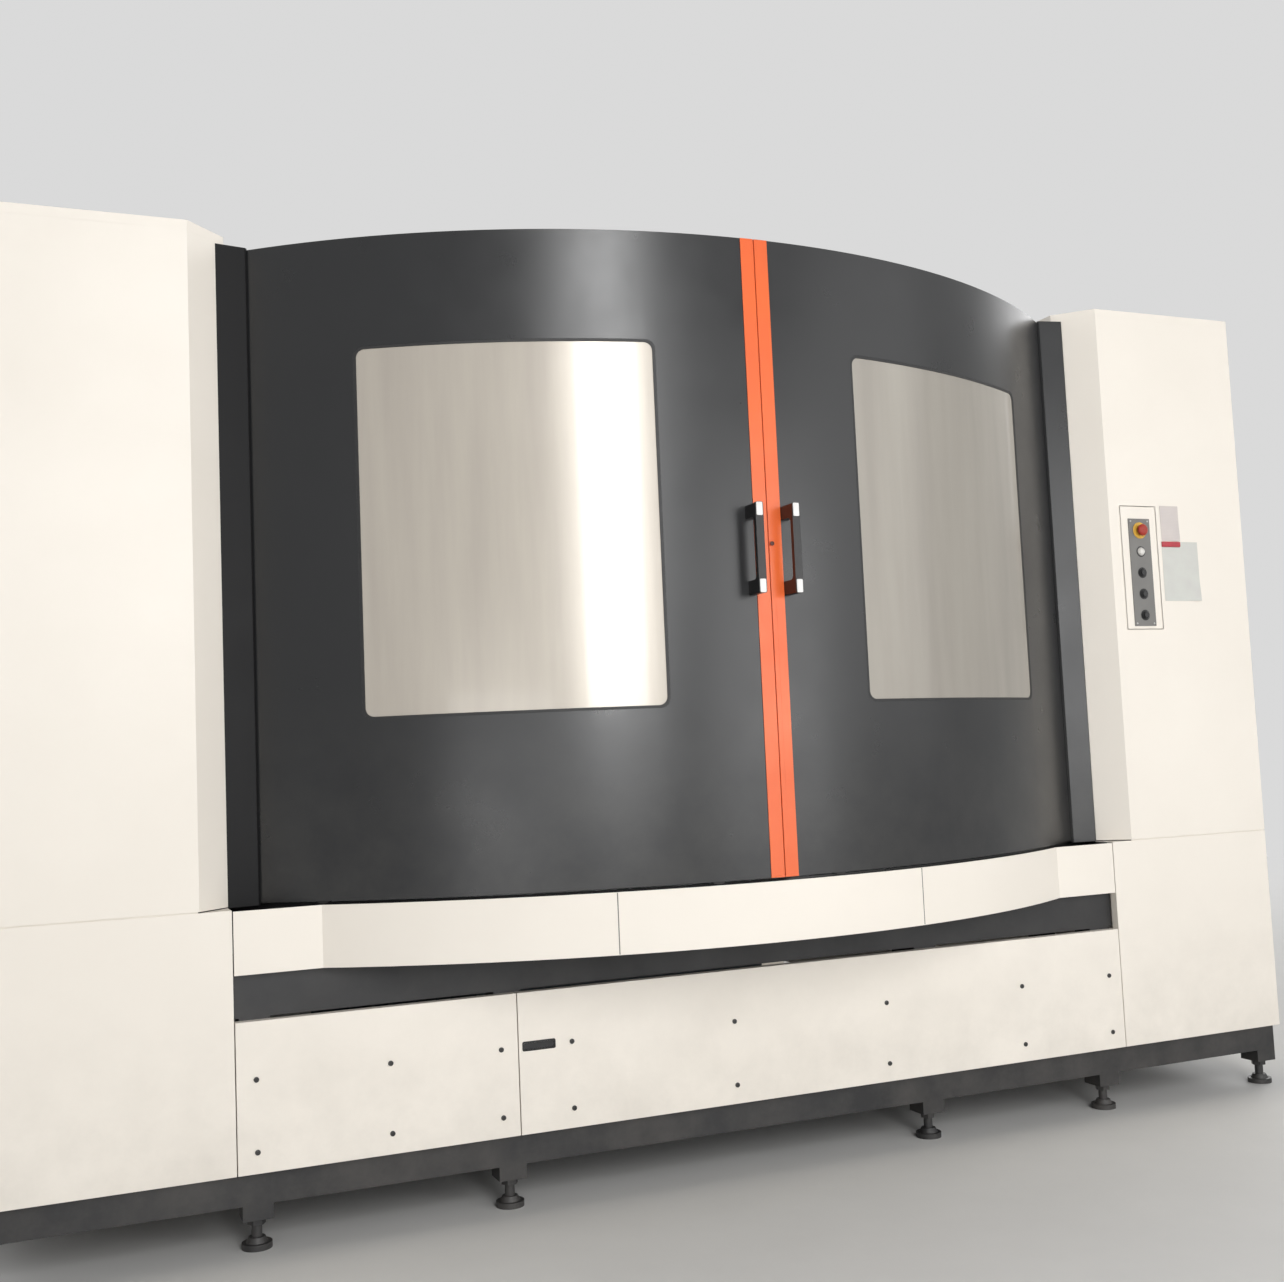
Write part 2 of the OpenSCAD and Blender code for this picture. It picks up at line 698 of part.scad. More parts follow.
module side_door() {
    leaf_t = 30;
    gap = 2;
    color("#33363a") placed() translate([work_x + gap, side_door_d, side_door_z + seat_gap]) {
        difference() {
            cube([leaf_t, side_door_w, side_door_h - 2 * seat_gap]);
            translate([-1, sheet_t, sheet_t])
                cube([leaf_t - sheet_t + 1, side_door_w - 2 * sheet_t, side_door_h - 2 * sheet_t - 1]);
            translate([0, side_door_w / 2, side_door_h * 0.56]) rotate([90, 0, 90])
                linear_extrude(100, center = true) rounded(side_door_w - 300, side_door_h - 480, 40);
        }
        // Pane in its opening
        translate([leaf_t - sheet_t - 8, side_door_w / 2, side_door_h * 0.56]) rotate([90, 0, 90])
            linear_extrude(8) rounded(side_door_w - 270, side_door_h - 450, 50);
        // Pull handle
        for (z = [-90, 90])
            translate([leaf_t - 1, side_door_w - 60, side_door_h * 0.45 + z])
                rotate([0, 90, 0]) cylinder(h = 46, r = 8);
        translate([leaf_t + 45, side_door_w - 60, side_door_h * 0.45 - 110]) cylinder(h = 220, r = 11);
    }
}

module electrical_cabinet() {
    t = sheet_t;
    d1 = cabinet_d0 + cabinet_w;
    low = cabinet_bottom;
    lip = 30;
    plinth_in = 20;
    plate_edge = 60;
    plate_t = 30;
    plate_x = work_x + t + seat_gap + plate_t;
    row_pitch = 560;
    row_top = cabinet_top - 130;
    unit_h = 370;
    unit_d = 200;
    unit_gap = 40;
    // Each row below is this much shallower
    unit_step = 30;
    unit_pitch = (cabinet_w - 3 * plate_edge) / 4;
    color("#e9e5dd") placed() {
        difference() {
            block([work_x, cabinet_d0, low], [cabinet_x, d1, cabinet_top]);
            block([work_x + t, cabinet_d0 + t, low + t], [cabinet_x - t, d1 - t, cabinet_top - t]);
            block([cabinet_x - t - 1, cabinet_d0 + lip, low + lip],
                  [cabinet_x + 1, d1 - lip, cabinet_top - lip]);
        }
        difference() {
            block([work_x + plinth_in, cabinet_d0 + plinth_in, 0],
                  [cabinet_x - plinth_in, d1 - plinth_in, low - seat_gap]);
            block([work_x + plinth_in + 10, cabinet_d0 + plinth_in + 10, -1],
                  [cabinet_x - plinth_in - 10, d1 - plinth_in - 10, low]);
        }
        // Mounting plate with drives and terminal rows
        block([work_x + t + seat_gap, cabinet_d0 + plate_edge, low + plate_edge],
              [plate_x, d1 - plate_edge, cabinet_top - plate_edge]);
        for (row = [0:2], i = [0:3])
            block([plate_x - 1, cabinet_d0 + plate_edge + unit_gap + i * unit_pitch,
                   row_top - unit_h - row * row_pitch],
                  [plate_x + unit_d - row * unit_step, cabinet_d0 + plate_edge + (i + 1) * unit_pitch,
                   row_top - row * row_pitch]);
    }
}

cabinet_door_t = 18;
cabinet_hinge_r = 6;
hinge_x = cabinet_x + cabinet_hinge_r + seat_gap;
hinge_d = cabinet_d0 + 12;

module cabinet_door() {
    d1 = cabinet_d0 + cabinet_w;
    low = cabinet_bottom + 6;
    high = cabinet_top - 6;
    face = cabinet_x + seat_gap;
    color("#e9e5dd") placed() {
        difference() {
            block([face, hinge_d, low], [face + cabinet_door_t, d1 - 6, high]);
            block([face - 1, hinge_d + 20, low + sheet_t],
                  [face + cabinet_door_t - sheet_t, d1 - 9, high - sheet_t]);
        }
        // Hinge barrels
        for (z = [low + 200, (low + high) / 2, high - 300])
            translate([hinge_x, hinge_d, z]) cylinder(h = 90, r = cabinet_hinge_r);
        // Swing handle in a shallow dish
        translate([cabinet_x + cabinet_door_t, d1 - 90, 1250]) rotate([90, 0, 90])
            linear_extrude(6) rounded(40, 200, 16);
        translate([cabinet_x + cabinet_door_t + 5, d1 - 90, 1260]) rotate([90, 0, 90])
            linear_extrude(10) rounded(22, 150, 8);
    }
}

panel_x = 1660;
panel_z = 1120;
hinge_out = 60;
panel_pin_r = 9;

module panel_bracket() {
    for (z = [panel_z + 60, panel_z + panel_h - 100])
        difference() {
            union() {
                block([panel_x + panel_t - 18, column_d - 1, z],
                      [panel_x + panel_t + 18, column_d + hinge_out, z + 30]);
                translate([panel_x + panel_t, column_d + hinge_out, z]) cylinder(h = 30, r = 18);
            }
            translate([panel_x + panel_t, column_d + hinge_out, z - 1])
                cylinder(h = 40, r = panel_pin_r + run_gap);
        }
}

module control_panel() {
    front = column_d + hinge_out + 24;
    face_x = panel_x + panel_t - 30;
    edge = 50;
    columns = 9;
    key_pitch = (panel_w - 2 * edge) / columns;
    key_gap = 8;
    key_h = 32;
    key_row = 46;
    key_z = panel_z + 110;
    screen_low = panel_z + panel_h - 330;
    screen_high = panel_z + panel_h - 60;
    color("#2f3236") placed() {
        difference() {
            block([panel_x - 30, front, panel_z], [face_x, front + panel_w, panel_z + panel_h]);
            // Screen recess
            block([face_x - 6, front + edge, screen_low], [face_x + 1, front + panel_w - edge, screen_high]);
        }
        // Key rows and dials
        for (row = [0:4], i = [0:columns - 1])
            block([face_x - 1, front + edge + i * key_pitch, key_z + row * key_row],
                  [face_x + 6, front + edge - key_gap + (i + 1) * key_pitch, key_z + key_h + row * key_row]);
        for (i = [0, 1])
            translate([face_x - 1, front + 90 + i * (panel_w - 180), panel_z + 55])
                rotate([0, 90, 0]) cylinder(h = 26, r = 20);
        // Hinge arm and pins
        for (z = [panel_z + 60, panel_z + panel_h - 100]) {
            translate([panel_x + panel_t, column_d + hinge_out, z - 10]) cylinder(h = 54, r = panel_pin_r);
            block([face_x - 1, column_d + hinge_out - 12, z + 30 + seat_gap],
                  [panel_x + panel_t + 12, front + 30, z + 44]);
        }
    }
}

/* Doors */

rail_mid_r = track_out - 18;
rail_foot = door_z - 16;
rail_top = rail_foot + rail_h;
roller_z = rail_top + seat_gap + roller_r;
roller_w = 20;
flange_h = 4;
cheek_t = 5;

module window_prism(w, h, r, reach) {
    at_door(window_angle) translate([0, -door_r, door_z + window_sill + window_h / 2])
        rotate([90, 0, 0]) linear_extrude(reach, center = true) rounded(w, h, r);
}

module door_leaf() {
    back_r = door_r - leaf_d;
    side_a = asin((window_w / 2 + 60) / door_r);
    rib_angles = [window_angle - side_a, window_angle + side_a];
    rib_z = [door_z + window_sill - 60, door_z + window_sill + window_h + 56];
    difference() {
        union() {
            ring(door_r - door_skin, door_r, trim_a, door_angle, door_z, door_top);
            ring(back_r, door_r - 1, trim_a, door_angle, door_z, door_z + door_skin);
            ring(back_r, door_r - 1, trim_a, door_angle, door_top - door_skin, door_top);
            for (z = rib_z)
                ring(back_r, door_r - 1, trim_a, door_angle, z, z + door_skin);
            for (a = [trim_a, rib_angles[0], rib_angles[1]])
                at_door(a) block([0, -door_r + 1, door_z + 1], [door_skin, -back_r - 1, door_top - 1]);
            at_door(door_angle)
                block([-door_skin, -door_r + 1, door_z + 1], [0, -back_r - 1, door_top - 1]);
        }
        window_prism(window_w, window_h, window_corner, 4 * leaf_d);
        for (a = roller_angles)
            at_door(a) block([-roller_r, -rail_mid_r - roller_w / 2 - 2, door_z - 1],
                             [roller_r, -rail_mid_r + roller_w / 2 + 2, door_z + door_skin + 1]);
    }
    // Roller brackets: two cheeks welded to the lower flange, with a fixed axle
    for (a = roller_angles) at_door(a) {
        for (y = [-rail_mid_r - roller_w / 2 - 2 - cheek_t, -rail_mid_r + roller_w / 2 + 2])
            block([-30, y, door_z + 1], [30, y + cheek_t, roller_z + 22]);
        translate([0, -rail_mid_r + roller_w / 2 + 2 + cheek_t, roller_z]) rotate([90, 0, 0])
            cylinder(h = roller_w + 4 + 2 * cheek_t, r = axle_r);
    }
}

module window_seal() {
    intersection() {
        ring(door_r - pane_t - 6, door_r - 0.5, trim_a, door_angle, door_z, door_top);
        difference() {
            window_prism(window_w, window_h, window_corner, 4 * leaf_d);
            window_prism(window_w - 2 * seal_w, window_h - 2 * seal_w, window_corner - seal_w / 2,
                         6 * leaf_d);
        }
    }
}

module window_pane() {
    intersection() {
        ring(door_r - pane_t - 2, door_r - 2, trim_a, door_angle, door_z, door_top);
        window_prism(window_w - 2 * seal_w, window_h - 2 * seal_w, window_corner - seal_w / 2, 4 * leaf_d);
    }
}

// Folded channel on the free edge, closed by the leaf's own edge
module edge_trim() {
    wall_a = 4 / door_r * degree;
    difference() {
        ring(door_r - leaf_d, door_r + trim_proud, seam_a, trim_a, door_z, door_top);
        ring(door_r - leaf_d + 4, door_r - 2, seam_a + wall_a, door_angle, door_z - 1, door_top + 1);
    }
}

// Lock in the right trim, beside the seam
module lock_boss() {
    lock_r = 7.5;
    at_door((lock_r + 2) / door_r * degree) translate([0, -door_r, door_z + 940]) rotate([90, 0, 0])
        cylinder(h = trim_proud + 3, r = lock_r);
}

// Bridge handle: a block at each end and a straight grip between them
module handle() {
    corner = 6;
    inner_corner = 14;
    h = handle_pitch + handle_block_h;
    at_door(handle_angle) translate([0, -door_r, door_z + handle_z]) intersection() {
        rotate([90, 0, -90]) linear_extrude(handle_w, center = true) difference() {
            translate([0, -h / 2]) square([handle_reach, h]);
            rounded(2 * (handle_reach - handle_t), handle_pitch - handle_block_h, inner_corner);
        }
        rotate([90, 0, 0]) linear_extrude(handle_reach) rounded(handle_w, h, corner);
    }
}

// Flanged roller: tread on the rail's top, a flange down each side of it
module roller(a) {
    slack = 1;
    tread = rail_w / 2 + slack;
    at_door(a) translate([0, -rail_mid_r, roller_z]) rotate([90, 0, 0]) rotate_extrude()
        polygon([[axle_r + run_gap, -roller_w / 2], [roller_r + flange_h, -roller_w / 2],
                 [roller_r + flange_h, -tread - 1], [roller_r, -tread], [roller_r, tread],
                 [roller_r + flange_h, tread + 1], [roller_r + flange_h, roller_w / 2],
                 [axle_r + run_gap, roller_w / 2]]);
}

module right_door_leaf() { color("#3a3d41") placed() door_leaf(); }
module left_door_leaf() { color("#3a3d41") placed() mirror([1, 0, 0]) door_leaf(); }
module right_window_seal() { color("#161616") placed() window_seal(); }
module left_window_seal() { color("#161616") placed() mirror([1, 0, 0]) window_seal(); }
module right_window() { color("#bcb5a9") placed() window_pane(); }
module left_window() { color("#bcb5a9") placed() mirror([1, 0, 0]) window_pane(); }
module right_edge_trim() {
    color("#ff5a26") placed() {
        edge_trim();
        lock_boss();
    }
}

module left_edge_trim() { color("#ff5a26") placed() mirror([1, 0, 0]) edge_trim(); }
module right_handle() { color("#17181a") placed() handle(); }
module left_handle() { color("#17181a") placed() mirror([1, 0, 0]) handle(); }
module right_inner_roller() { color("#8b8d90") placed() roller(roller_angles[0]); }
module right_outer_roller() { color("#8b8d90") placed() roller(roller_angles[1]); }
module left_inner_roller() { color("#8b8d90") placed() mirror([1, 0, 0]) roller(roller_angles[0]); }
module left_outer_roller() { color("#8b8d90") placed() mirror([1, 0, 0]) roller(roller_angles[1]); }

/* Button strip */

stop_z = strip_mid + strip_h / 2 - 42;
hole_r = 8;

module at_control(z) {
    placed() translate([strip_x, -strip_t, z]) rotate([90, 0, 0]) children();
}

function control_z(i) = stop_z - control_pitch * i;

module button_plate() {
    box_d = 60;
    color("#7a7875") placed() difference() {
        union() {
            block([strip_x - strip_w / 2, -strip_t, strip_mid - strip_h / 2],
                  [strip_x + strip_w / 2, 0, strip_mid + strip_h / 2]);
            block([strip_x - strip_box_w / 2 + 1, -1, strip_mid - strip_box_h / 2 + 1],
                  [strip_x + strip_box_w / 2 - 1, box_d, strip_mid + strip_box_h / 2 - 1]);
        }
        block([strip_x - strip_box_w / 2 + 3, 0, strip_mid - strip_box_h / 2 + 3],
              [strip_x + strip_box_w / 2 - 3, box_d - 2, strip_mid + strip_box_h / 2 - 3]);
        for (i = [0:4])
            translate([strip_x, 0, control_z(i)]) rotate([90, 0, 0])
                cylinder(h = 3 * strip_t, r = hole_r, center = true);
    }
}

module button_bezels() {
    color("#3c3c3e") for (i = [2:4]) at_control(control_z(i)) rotate_extrude()
        polygon([[button_r + seat_gap, 0], [button_r + 4, 0], [button_r + 4, 3], [button_r + 2.5, 5],
                 [button_r + seat_gap, 5]]);
}

module stop_collar() {
    color("#f2c400") at_control(stop_z) rotate_extrude()
        polygon([[hole_r, 0], [collar_r, 0], [collar_r, 2], [collar_r - 2, 3], [hole_r, 3]]);
}

module station_lamp() {
    color("#e4e2dc") at_control(control_z(1)) rotate_extrude() {
        polygon([[0, 0], [button_r + 3, 0], [button_r + 3, 3], [button_r, 4], [button_r, 8], [0, 11]]);
    }
}

module stop_stem() {
    color("#c9c9c9") at_control(stop_z) translate([0, 0, -20]) cylinder(h = 34, r = hole_r - seat_gap);
}

module stop_head() {
    from = 3 + stop_travel + 1;
    color("#d3221c") at_control(stop_z) rotate_extrude()
        polygon([[hole_r - seat_gap + run_gap, from], [stop_r - 5, from], [stop_r, from + 5],
                 [stop_r, from + 11], [stop_r - 3, from + 14], [stop_r - 8, from + 16],
                 [0, from + 17], [0, 14 + run_gap], [hole_r - seat_gap + run_gap, 14 + run_gap]]);
}

module push_button(i) {
    low = button_travel + seat_gap;
    color("#1b1b1d") at_control(control_z(i)) rotate_extrude()
        polygon([[0, -14], [hole_r - seat_gap, -14], [hole_r - seat_gap, low], [button_r, low],
                 [button_r, low + 5], [button_r - 1, low + 6], [0, low + 6]]);
}

module upper_button() { push_button(2); }
module middle_button() { push_button(3); }
module lower_button() { push_button(4); }

/* Pallet changer */

module cone_pads(mid_d, low) {
    for (x = [-1, 1], y = [-1, 1])
        translate([x * cone_pitch / 2, mid_d + y * cone_pitch / 2, low])
            cylinder(h = table_pads_top - low, r = cone_r);
}

module changer_base() {
    front = pivot_d - pallet_reach;
    color("#5d6267") placed() {
        difference() {
            union() {
                block([-rest_r, front - rest_r, bed_top], [rest_r, pivot_d + base_r, bed_top + base_beam_t]);
                translate([0, pivot_d, bed_top]) cylinder(h = sleeve_top - bed_top, r = base_r);
                translate([0, front, bed_top]) cylinder(h = 1000 - bed_top, r = rest_r);
                // Spreader plate that carries the four rest cones
                translate([0, front, 1000]) linear_extrude(30) rounded(cone_pitch + 2 * cone_r + 20,
                                                                       cone_pitch + 2 * cone_r + 20, 50);
                cone_pads(front, 1029);
            }
            translate([0, pivot_d, bed_top + base_beam_t])
                cylinder(h = 400, r = lift_r + seat_gap);
        }
    }
}

module changer_column() {
    hub_low = fork_top - 3 * fork_t;
    color("#b9bcc0") placed() translate([0, pivot_d, 0]) {
        translate([0, 0, bed_top + base_beam_t + lift_h + 2])
            cylinder(h = hub_low - seat_gap - bed_top - base_beam_t - lift_h - 2, r = lift_r);
        translate([0, 0, hub_low - seat_gap - 1]) cylinder(h = fork_t + 1, r = 60);
    }
}

module changer_fork() {
    hub_low = fork_top - 3 * fork_t;
    arm_in = 200;
    prong_end = pallet_reach + pallet_w / 2 - 50;
    color("#e0a020") placed() translate([0, pivot_d, 0]) difference() {
        union() {
            translate([0, 0, hub_low]) cylinder(h = 3 * fork_t, r = 165);
            // Cross beam and four prongs, lightened towards their tips
            block([-fork_x - prong_w, -arm_in, fork_top - fork_t], [fork_x + prong_w, arm_in, fork_top]);
            both_sides() for (s = [-1, 1])
                slab([[fork_x, 0], [fork_x + prong_w, 0], [fork_x + prong_w, s * prong_end * 0.7],
                      [fork_x + prong_w - 18, s * prong_end], [fork_x, s * prong_end]],
                     fork_top - fork_t, fork_top);
        }
        translate([0, 0, hub_low - 1]) cylinder(h = fork_t + 2, r = 60 + seat_gap);
        both_sides() for (s = [-1, 1])
            translate([230, s * 100, fork_top - fork_t - 1]) cylinder(h = fork_t + 2, r = 55);
    }
}

module changer_partition() {
    low = fork_top;
    t = sheet_t;
    cells = 6;
    cell_w = partition_w / cells;
    cell_h = (partition_top - low) / 2;
    color("#d2d5d7") placed() translate([0, pivot_d, 0]) {
        difference() {
            block([-partition_w / 2, -partition_t / 2, low],
                  [partition_w / 2, partition_t / 2, partition_top]);
            // Cells between upright ribs, open to the back, under a skin on the front
            for (i = [0:cells - 1], j = [0, 1])
                translate([(i + 0.5 - cells / 2) * cell_w, -partition_t / 2 + t, low + (j + 0.5) * cell_h])
                    rotate([-90, 0, 0]) linear_extrude(partition_t)
                        rounded(cell_w - 2 * t, cell_h - 2 * t, 20);
        }
    }
}

module pallet() {
    slot_w = 22;
    slot_pitch = 140;
    corner = 90;
    half = pallet_w / 2;
    difference() {
        slab([[-half + corner, -half], [half - corner, -half], [half, -half + corner],
              [half, half - corner], [half - corner, half], [-half + corner, half],
              [-half, half - corner], [-half, -half + corner]], pallet_z, pallet_z + pallet_t);
        for (i = [-2:2]) {
            block([i * slot_pitch - slot_w / 2, -half - 1, pallet_z + pallet_t - 38],
                  [i * slot_pitch + slot_w / 2, half + 1, pallet_z + pallet_t + 1]);
            block([i * slot_pitch - slot_w * 0.85, -half - 1, pallet_z + pallet_t - 38],
                  [i * slot_pitch + slot_w * 0.85, half + 1, pallet_z + pallet_t - 22]);
        }
        translate([0, 0, pallet_z - 1]) cylinder(h = 30, r = 60);
    }
}

module pallets() {
    color("#9da1a5") placed() for (s = [-1, 1])
        translate([0, pivot_d + s * pallet_reach, 0]) pallet();
}

/* Table */

table_d = pivot_d + pallet_reach;
saddle_z = way_top + seat_gap;
saddle_t = 120;
saddle_w = 940;

module feed_nut(reach) {
    // Nut housing that hangs from a slide down to its screw, bored along Y
    difference() {
        block([-55, -reach / 2, screw_z - 45], [55, reach / 2, saddle_z + 1]);
        translate([0, reach / 2 + 1, screw_z]) rotate([90, 0, 0])
            cylinder(h = reach + 2, r = screw_r + seat_gap);
    }
}

module table_saddle() {
    half = saddle_w / 2;
    color("#6d747a") placed() translate([0, table_d, 0]) {
        difference() {
            slab([[-half, -half + 60], [-half + 60, -half], [half - 60, -half], [half, -half + 60],
                  [half, half - 60], [half - 60, half], [-half + 60, half], [-half, half - 60]],
                 saddle_z, saddle_z + saddle_t);
            translate([0, 0, saddle_z + saddle_t - 40]) difference() {
                cylinder(h = 60, r = table_r + 90);
                translate([0, 0, -1]) cylinder(h = 62, r = table_r + 40);
            }
        }
        feed_nut(140);
        // Gibs that hook the saddle to the outside of its ways
        both_sides()
            block([leg_way_x + way_w / 2 + seat_gap, -half + 60, way_top - 40],
                  [leg_way_x + way_w / 2 + 35, half - 60, saddle_z + 1]);
    }
}

module rotary_table() {
    low = saddle_z + saddle_t + seat_gap;
    waist = 30;
    color("#a4a8ac") placed() translate([0, table_d, 0]) {
        translate([0, 0, low]) rotate_extrude($fn = 96)
            polygon([[0, 0], [table_r, 0], [table_r, 40], [table_r - waist, 60],
                     [table_r - waist, table_top - low - waist], [table_r, table_top - low - waist / 2],
                     [table_r, table_top - low], [0, table_top - low]]);
        for (x = [-1, 1], y = [-1, 1])
            translate([x * 190, y * 190, table_top - 1])
                cylinder(h = table_pads_top - table_top + 1, r = cone_r - 10);
    }
}

/* Column and spindle */

upright_front = 3310;
upright_back = 4130;
front_way_x = 200;
front_way_d = 60;
slot_w = 320;
slot_d = 170;
slot_low = 900;
slot_high = upright_top - 140;
y_screw_d = upright_front + 110;
head_back = upright_front - front_way_d - seat_gap;

module machine_column() {
    w = upright_w / 2;
    lean = 240;
    side = [[upright_front, saddle_z], [upright_back, saddle_z], [upright_back, 1000],
            [upright_back - lean, upright_top - 300], [upright_back - lean, upright_top],
            [upright_front, upright_top]];
    color("#dcdedd") placed() {
        difference() {
            union() {
                // Side profile, leaning back towards the top
                translate([-w, 0, 0]) rotate([90, 0, 90]) linear_extrude(2 * w) polygon(side);
                both_sides()
                    block([front_way_x - way_w / 2, upright_front - front_way_d, slot_low - 60],
                          [front_way_x + way_w / 2, upright_front + 1, upright_top - 60]);
            }
            block([-slot_w / 2, upright_front - 1, slot_low],
                  [slot_w / 2, upright_front + slot_d, slot_high]);
            // Hollow inside the cast walls, with core holes in the back
            intersection() {
                translate([-w + 70, 0, 0]) rotate([90, 0, 90]) linear_extrude(2 * w - 140)
                    polygon(inset(side, 50));
                block([-w, upright_front + slot_d + 50, saddle_z + 120], [w, upright_back, upright_top]);
            }
            for (z = [1100, 1620])
                translate([0, upright_front + slot_d + 200, z]) rotate([-90, 0, 0])
                    linear_extrude(800) rounded(380, 300, 60);
            // Ribbed side pockets
            both_sides() for (i = [0:2])
                translate([w - 30, (upright_front + upright_back) / 2 - 90, 1190 + i * 480])
                    rotate([90, 0, 90]) linear_extrude(60) rounded(460, 400, 60);
            // Bores for the screw's journals
            translate([0, y_screw_d, slot_low - 80]) cylinder(h = 100, r = screw_r * 0.6 + run_gap);
            translate([0, y_screw_d, slot_high - 1]) cylinder(h = 200, r = screw_r * 0.6 + run_gap);
        }
        translate([0, x_screw_d, 0]) rotate([0, 0, 90]) feed_nut(140);
        // Vertical feed motor
        translate([-motor_w / 2, y_screw_d - motor_w / 2, upright_top]) cube([motor_w, motor_w, 80]);
    }
}

module spindle_head() {
    boss_w = slot_w - 60;
    boss_h = 260;
    housing_t = 100;
    quill_r = 180;
    nose_gap = 20;
    color("#c7cacb") placed() translate([0, 0, spindle_z]) difference() {
        union() {
            // Head housing, narrowing to the nose
            translate([0, head_back, 0]) rotate([90, 0, 0]) linear_extrude(housing_t)
                rounded(head_w, head_h, 30);
            translate([0, head_back - housing_t + 1, 0]) rotate([90, 0, 0])
                cylinder(h = head_back - housing_t - nose_d - nose_gap + 1, r = quill_r);
            block([-boss_w / 2, head_back - 1, -boss_h / 2], [boss_w / 2, y_screw_d + 45, boss_h / 2]);
            both_sides()
                block([front_way_x + way_w / 2 + seat_gap, head_back - 60, -head_h / 2 + 20],
                      [head_w / 2, head_back + 40, head_h / 2 - 20]);
        }
        translate([0, nose_d + 300, 0]) rotate([90, 0, 0]) cylinder(h = 400, r = spindle_r + run_gap);
        translate([0, y_screw_d, -boss_h]) cylinder(h = 2 * boss_h, r = screw_r + seat_gap);
    }
}

module tool(reach, cutter_r, cutter_l) {
    // Holder flange, body and cutter, pointing along +Z from the gauge face
    cylinder(h = 34, r = 31.5);
    cylinder(h = reach, r = 22);
    translate([0, 0, reach]) cylinder(h = cutter_l, r = cutter_r);
}

module spindle() {
    color("#8f9296") placed() translate([0, nose_d, spindle_z]) rotate([90, 0, 0]) {
        translate([0, 0, -290]) cylinder(h = 290, r = spindle_r);
        tool(70, 40, 35);
        // Drive dogs on the nose
        for (a = [0, 180]) rotate([0, 0, a]) translate([38, -8, -1]) cube([26, 16, 9]);
    }
}

module feed_screw(length, from_end, to_end) {
    // Screw body with a journal at each end, pointing along +Z
    cylinder(h = length, r = screw_r);
    translate([0, 0, -from_end]) cylinder(h = from_end + 1, r = screw_r * 0.6);
    translate([0, 0, length - 1]) cylinder(h = to_end + 1, r = screw_r * 0.6);
}

module z_screw() {
    color("#b5b8bb") placed() translate([0, z_screw_from + 2, screw_z]) rotate([-90, 0, 0])
        feed_screw(cross_front - wall_t - z_screw_from - 4, wall_t + 1, 0);
}

module x_screw() {
    color("#b5b8bb") placed() translate([-cross_w / 2 + wall_t + 2, x_screw_d, screw_z]) rotate([0, 90, 0])
        feed_screw(cross_w - 2 * wall_t - 4, 0, wall_t + 1);
}

module y_screw() {
    color("#b5b8bb") placed() translate([0, y_screw_d, slot_low + 2])
        feed_screw(slot_high - slot_low - 4, 40, upright_top - slot_high + 1);
}

module feed_motors() {
    color("#222326") placed() {
        translate([0, z_screw_from - wall_t, screw_z]) rotate([90, 0, 0]) linear_extrude(motor_l - 2)
            rounded(motor_w - 20, motor_w - 20, 12);
        translate([cross_w / 2, x_screw_d, screw_z]) rotate([90, 0, 90]) {
            linear_extrude(40) rounded(motor_w + 30, motor_w + 30, 12);
            linear_extrude(motor_l) rounded(motor_w, motor_w, 12);
        }
    }
}

/* Tool magazine and exchange arm */

x_travel = 400;
arm_x = -x_travel - arm_reach;
disc_x = arm_x - arm_reach - pot_circle;
disc_r = pot_circle + 45;
pot_front = nose_d + 10;
disc_front = nose_d + 60;
disc_t = 40;
shaft_r = 30;

module magazine_disc() {
    pot_r = 36;
    color("#54585c") placed() translate([disc_x, 0, spindle_z]) {
        translate([0, disc_front + disc_t, 0]) rotate([90, 0, 0]) difference() {
            cylinder(h = disc_t, r = disc_r, $fn = 120);
            translate([0, 0, -1]) cylinder(h = disc_t + 2, r = shaft_r + run_gap);
            // Lightening holes
            for (i = [0:5]) rotate([0, 0, 60 * i]) translate([200, 0, -1]) cylinder(h = disc_t + 2, r = 70);
        }
        for (i = [0:pot_count - 1]) rotate([0, 360 / pot_count * i, 0]) translate([pot_circle, 0, 0]) {
            translate([0, disc_front + 1, 0]) rotate([90, 0, 0])
                cylinder(h = disc_front - pot_front + 1, r = pot_r);
            // The pots that the arm sweeps past stay empty
            if (i > 1 && i < pot_count - 1) translate([0, pot_front + 1, 0]) rotate([90, 0, 0])
                tool(60 + 12 * (i % 4), 10 + 6 * (i % 3), 30 + 20 * (i % 2));
        }
    }
}

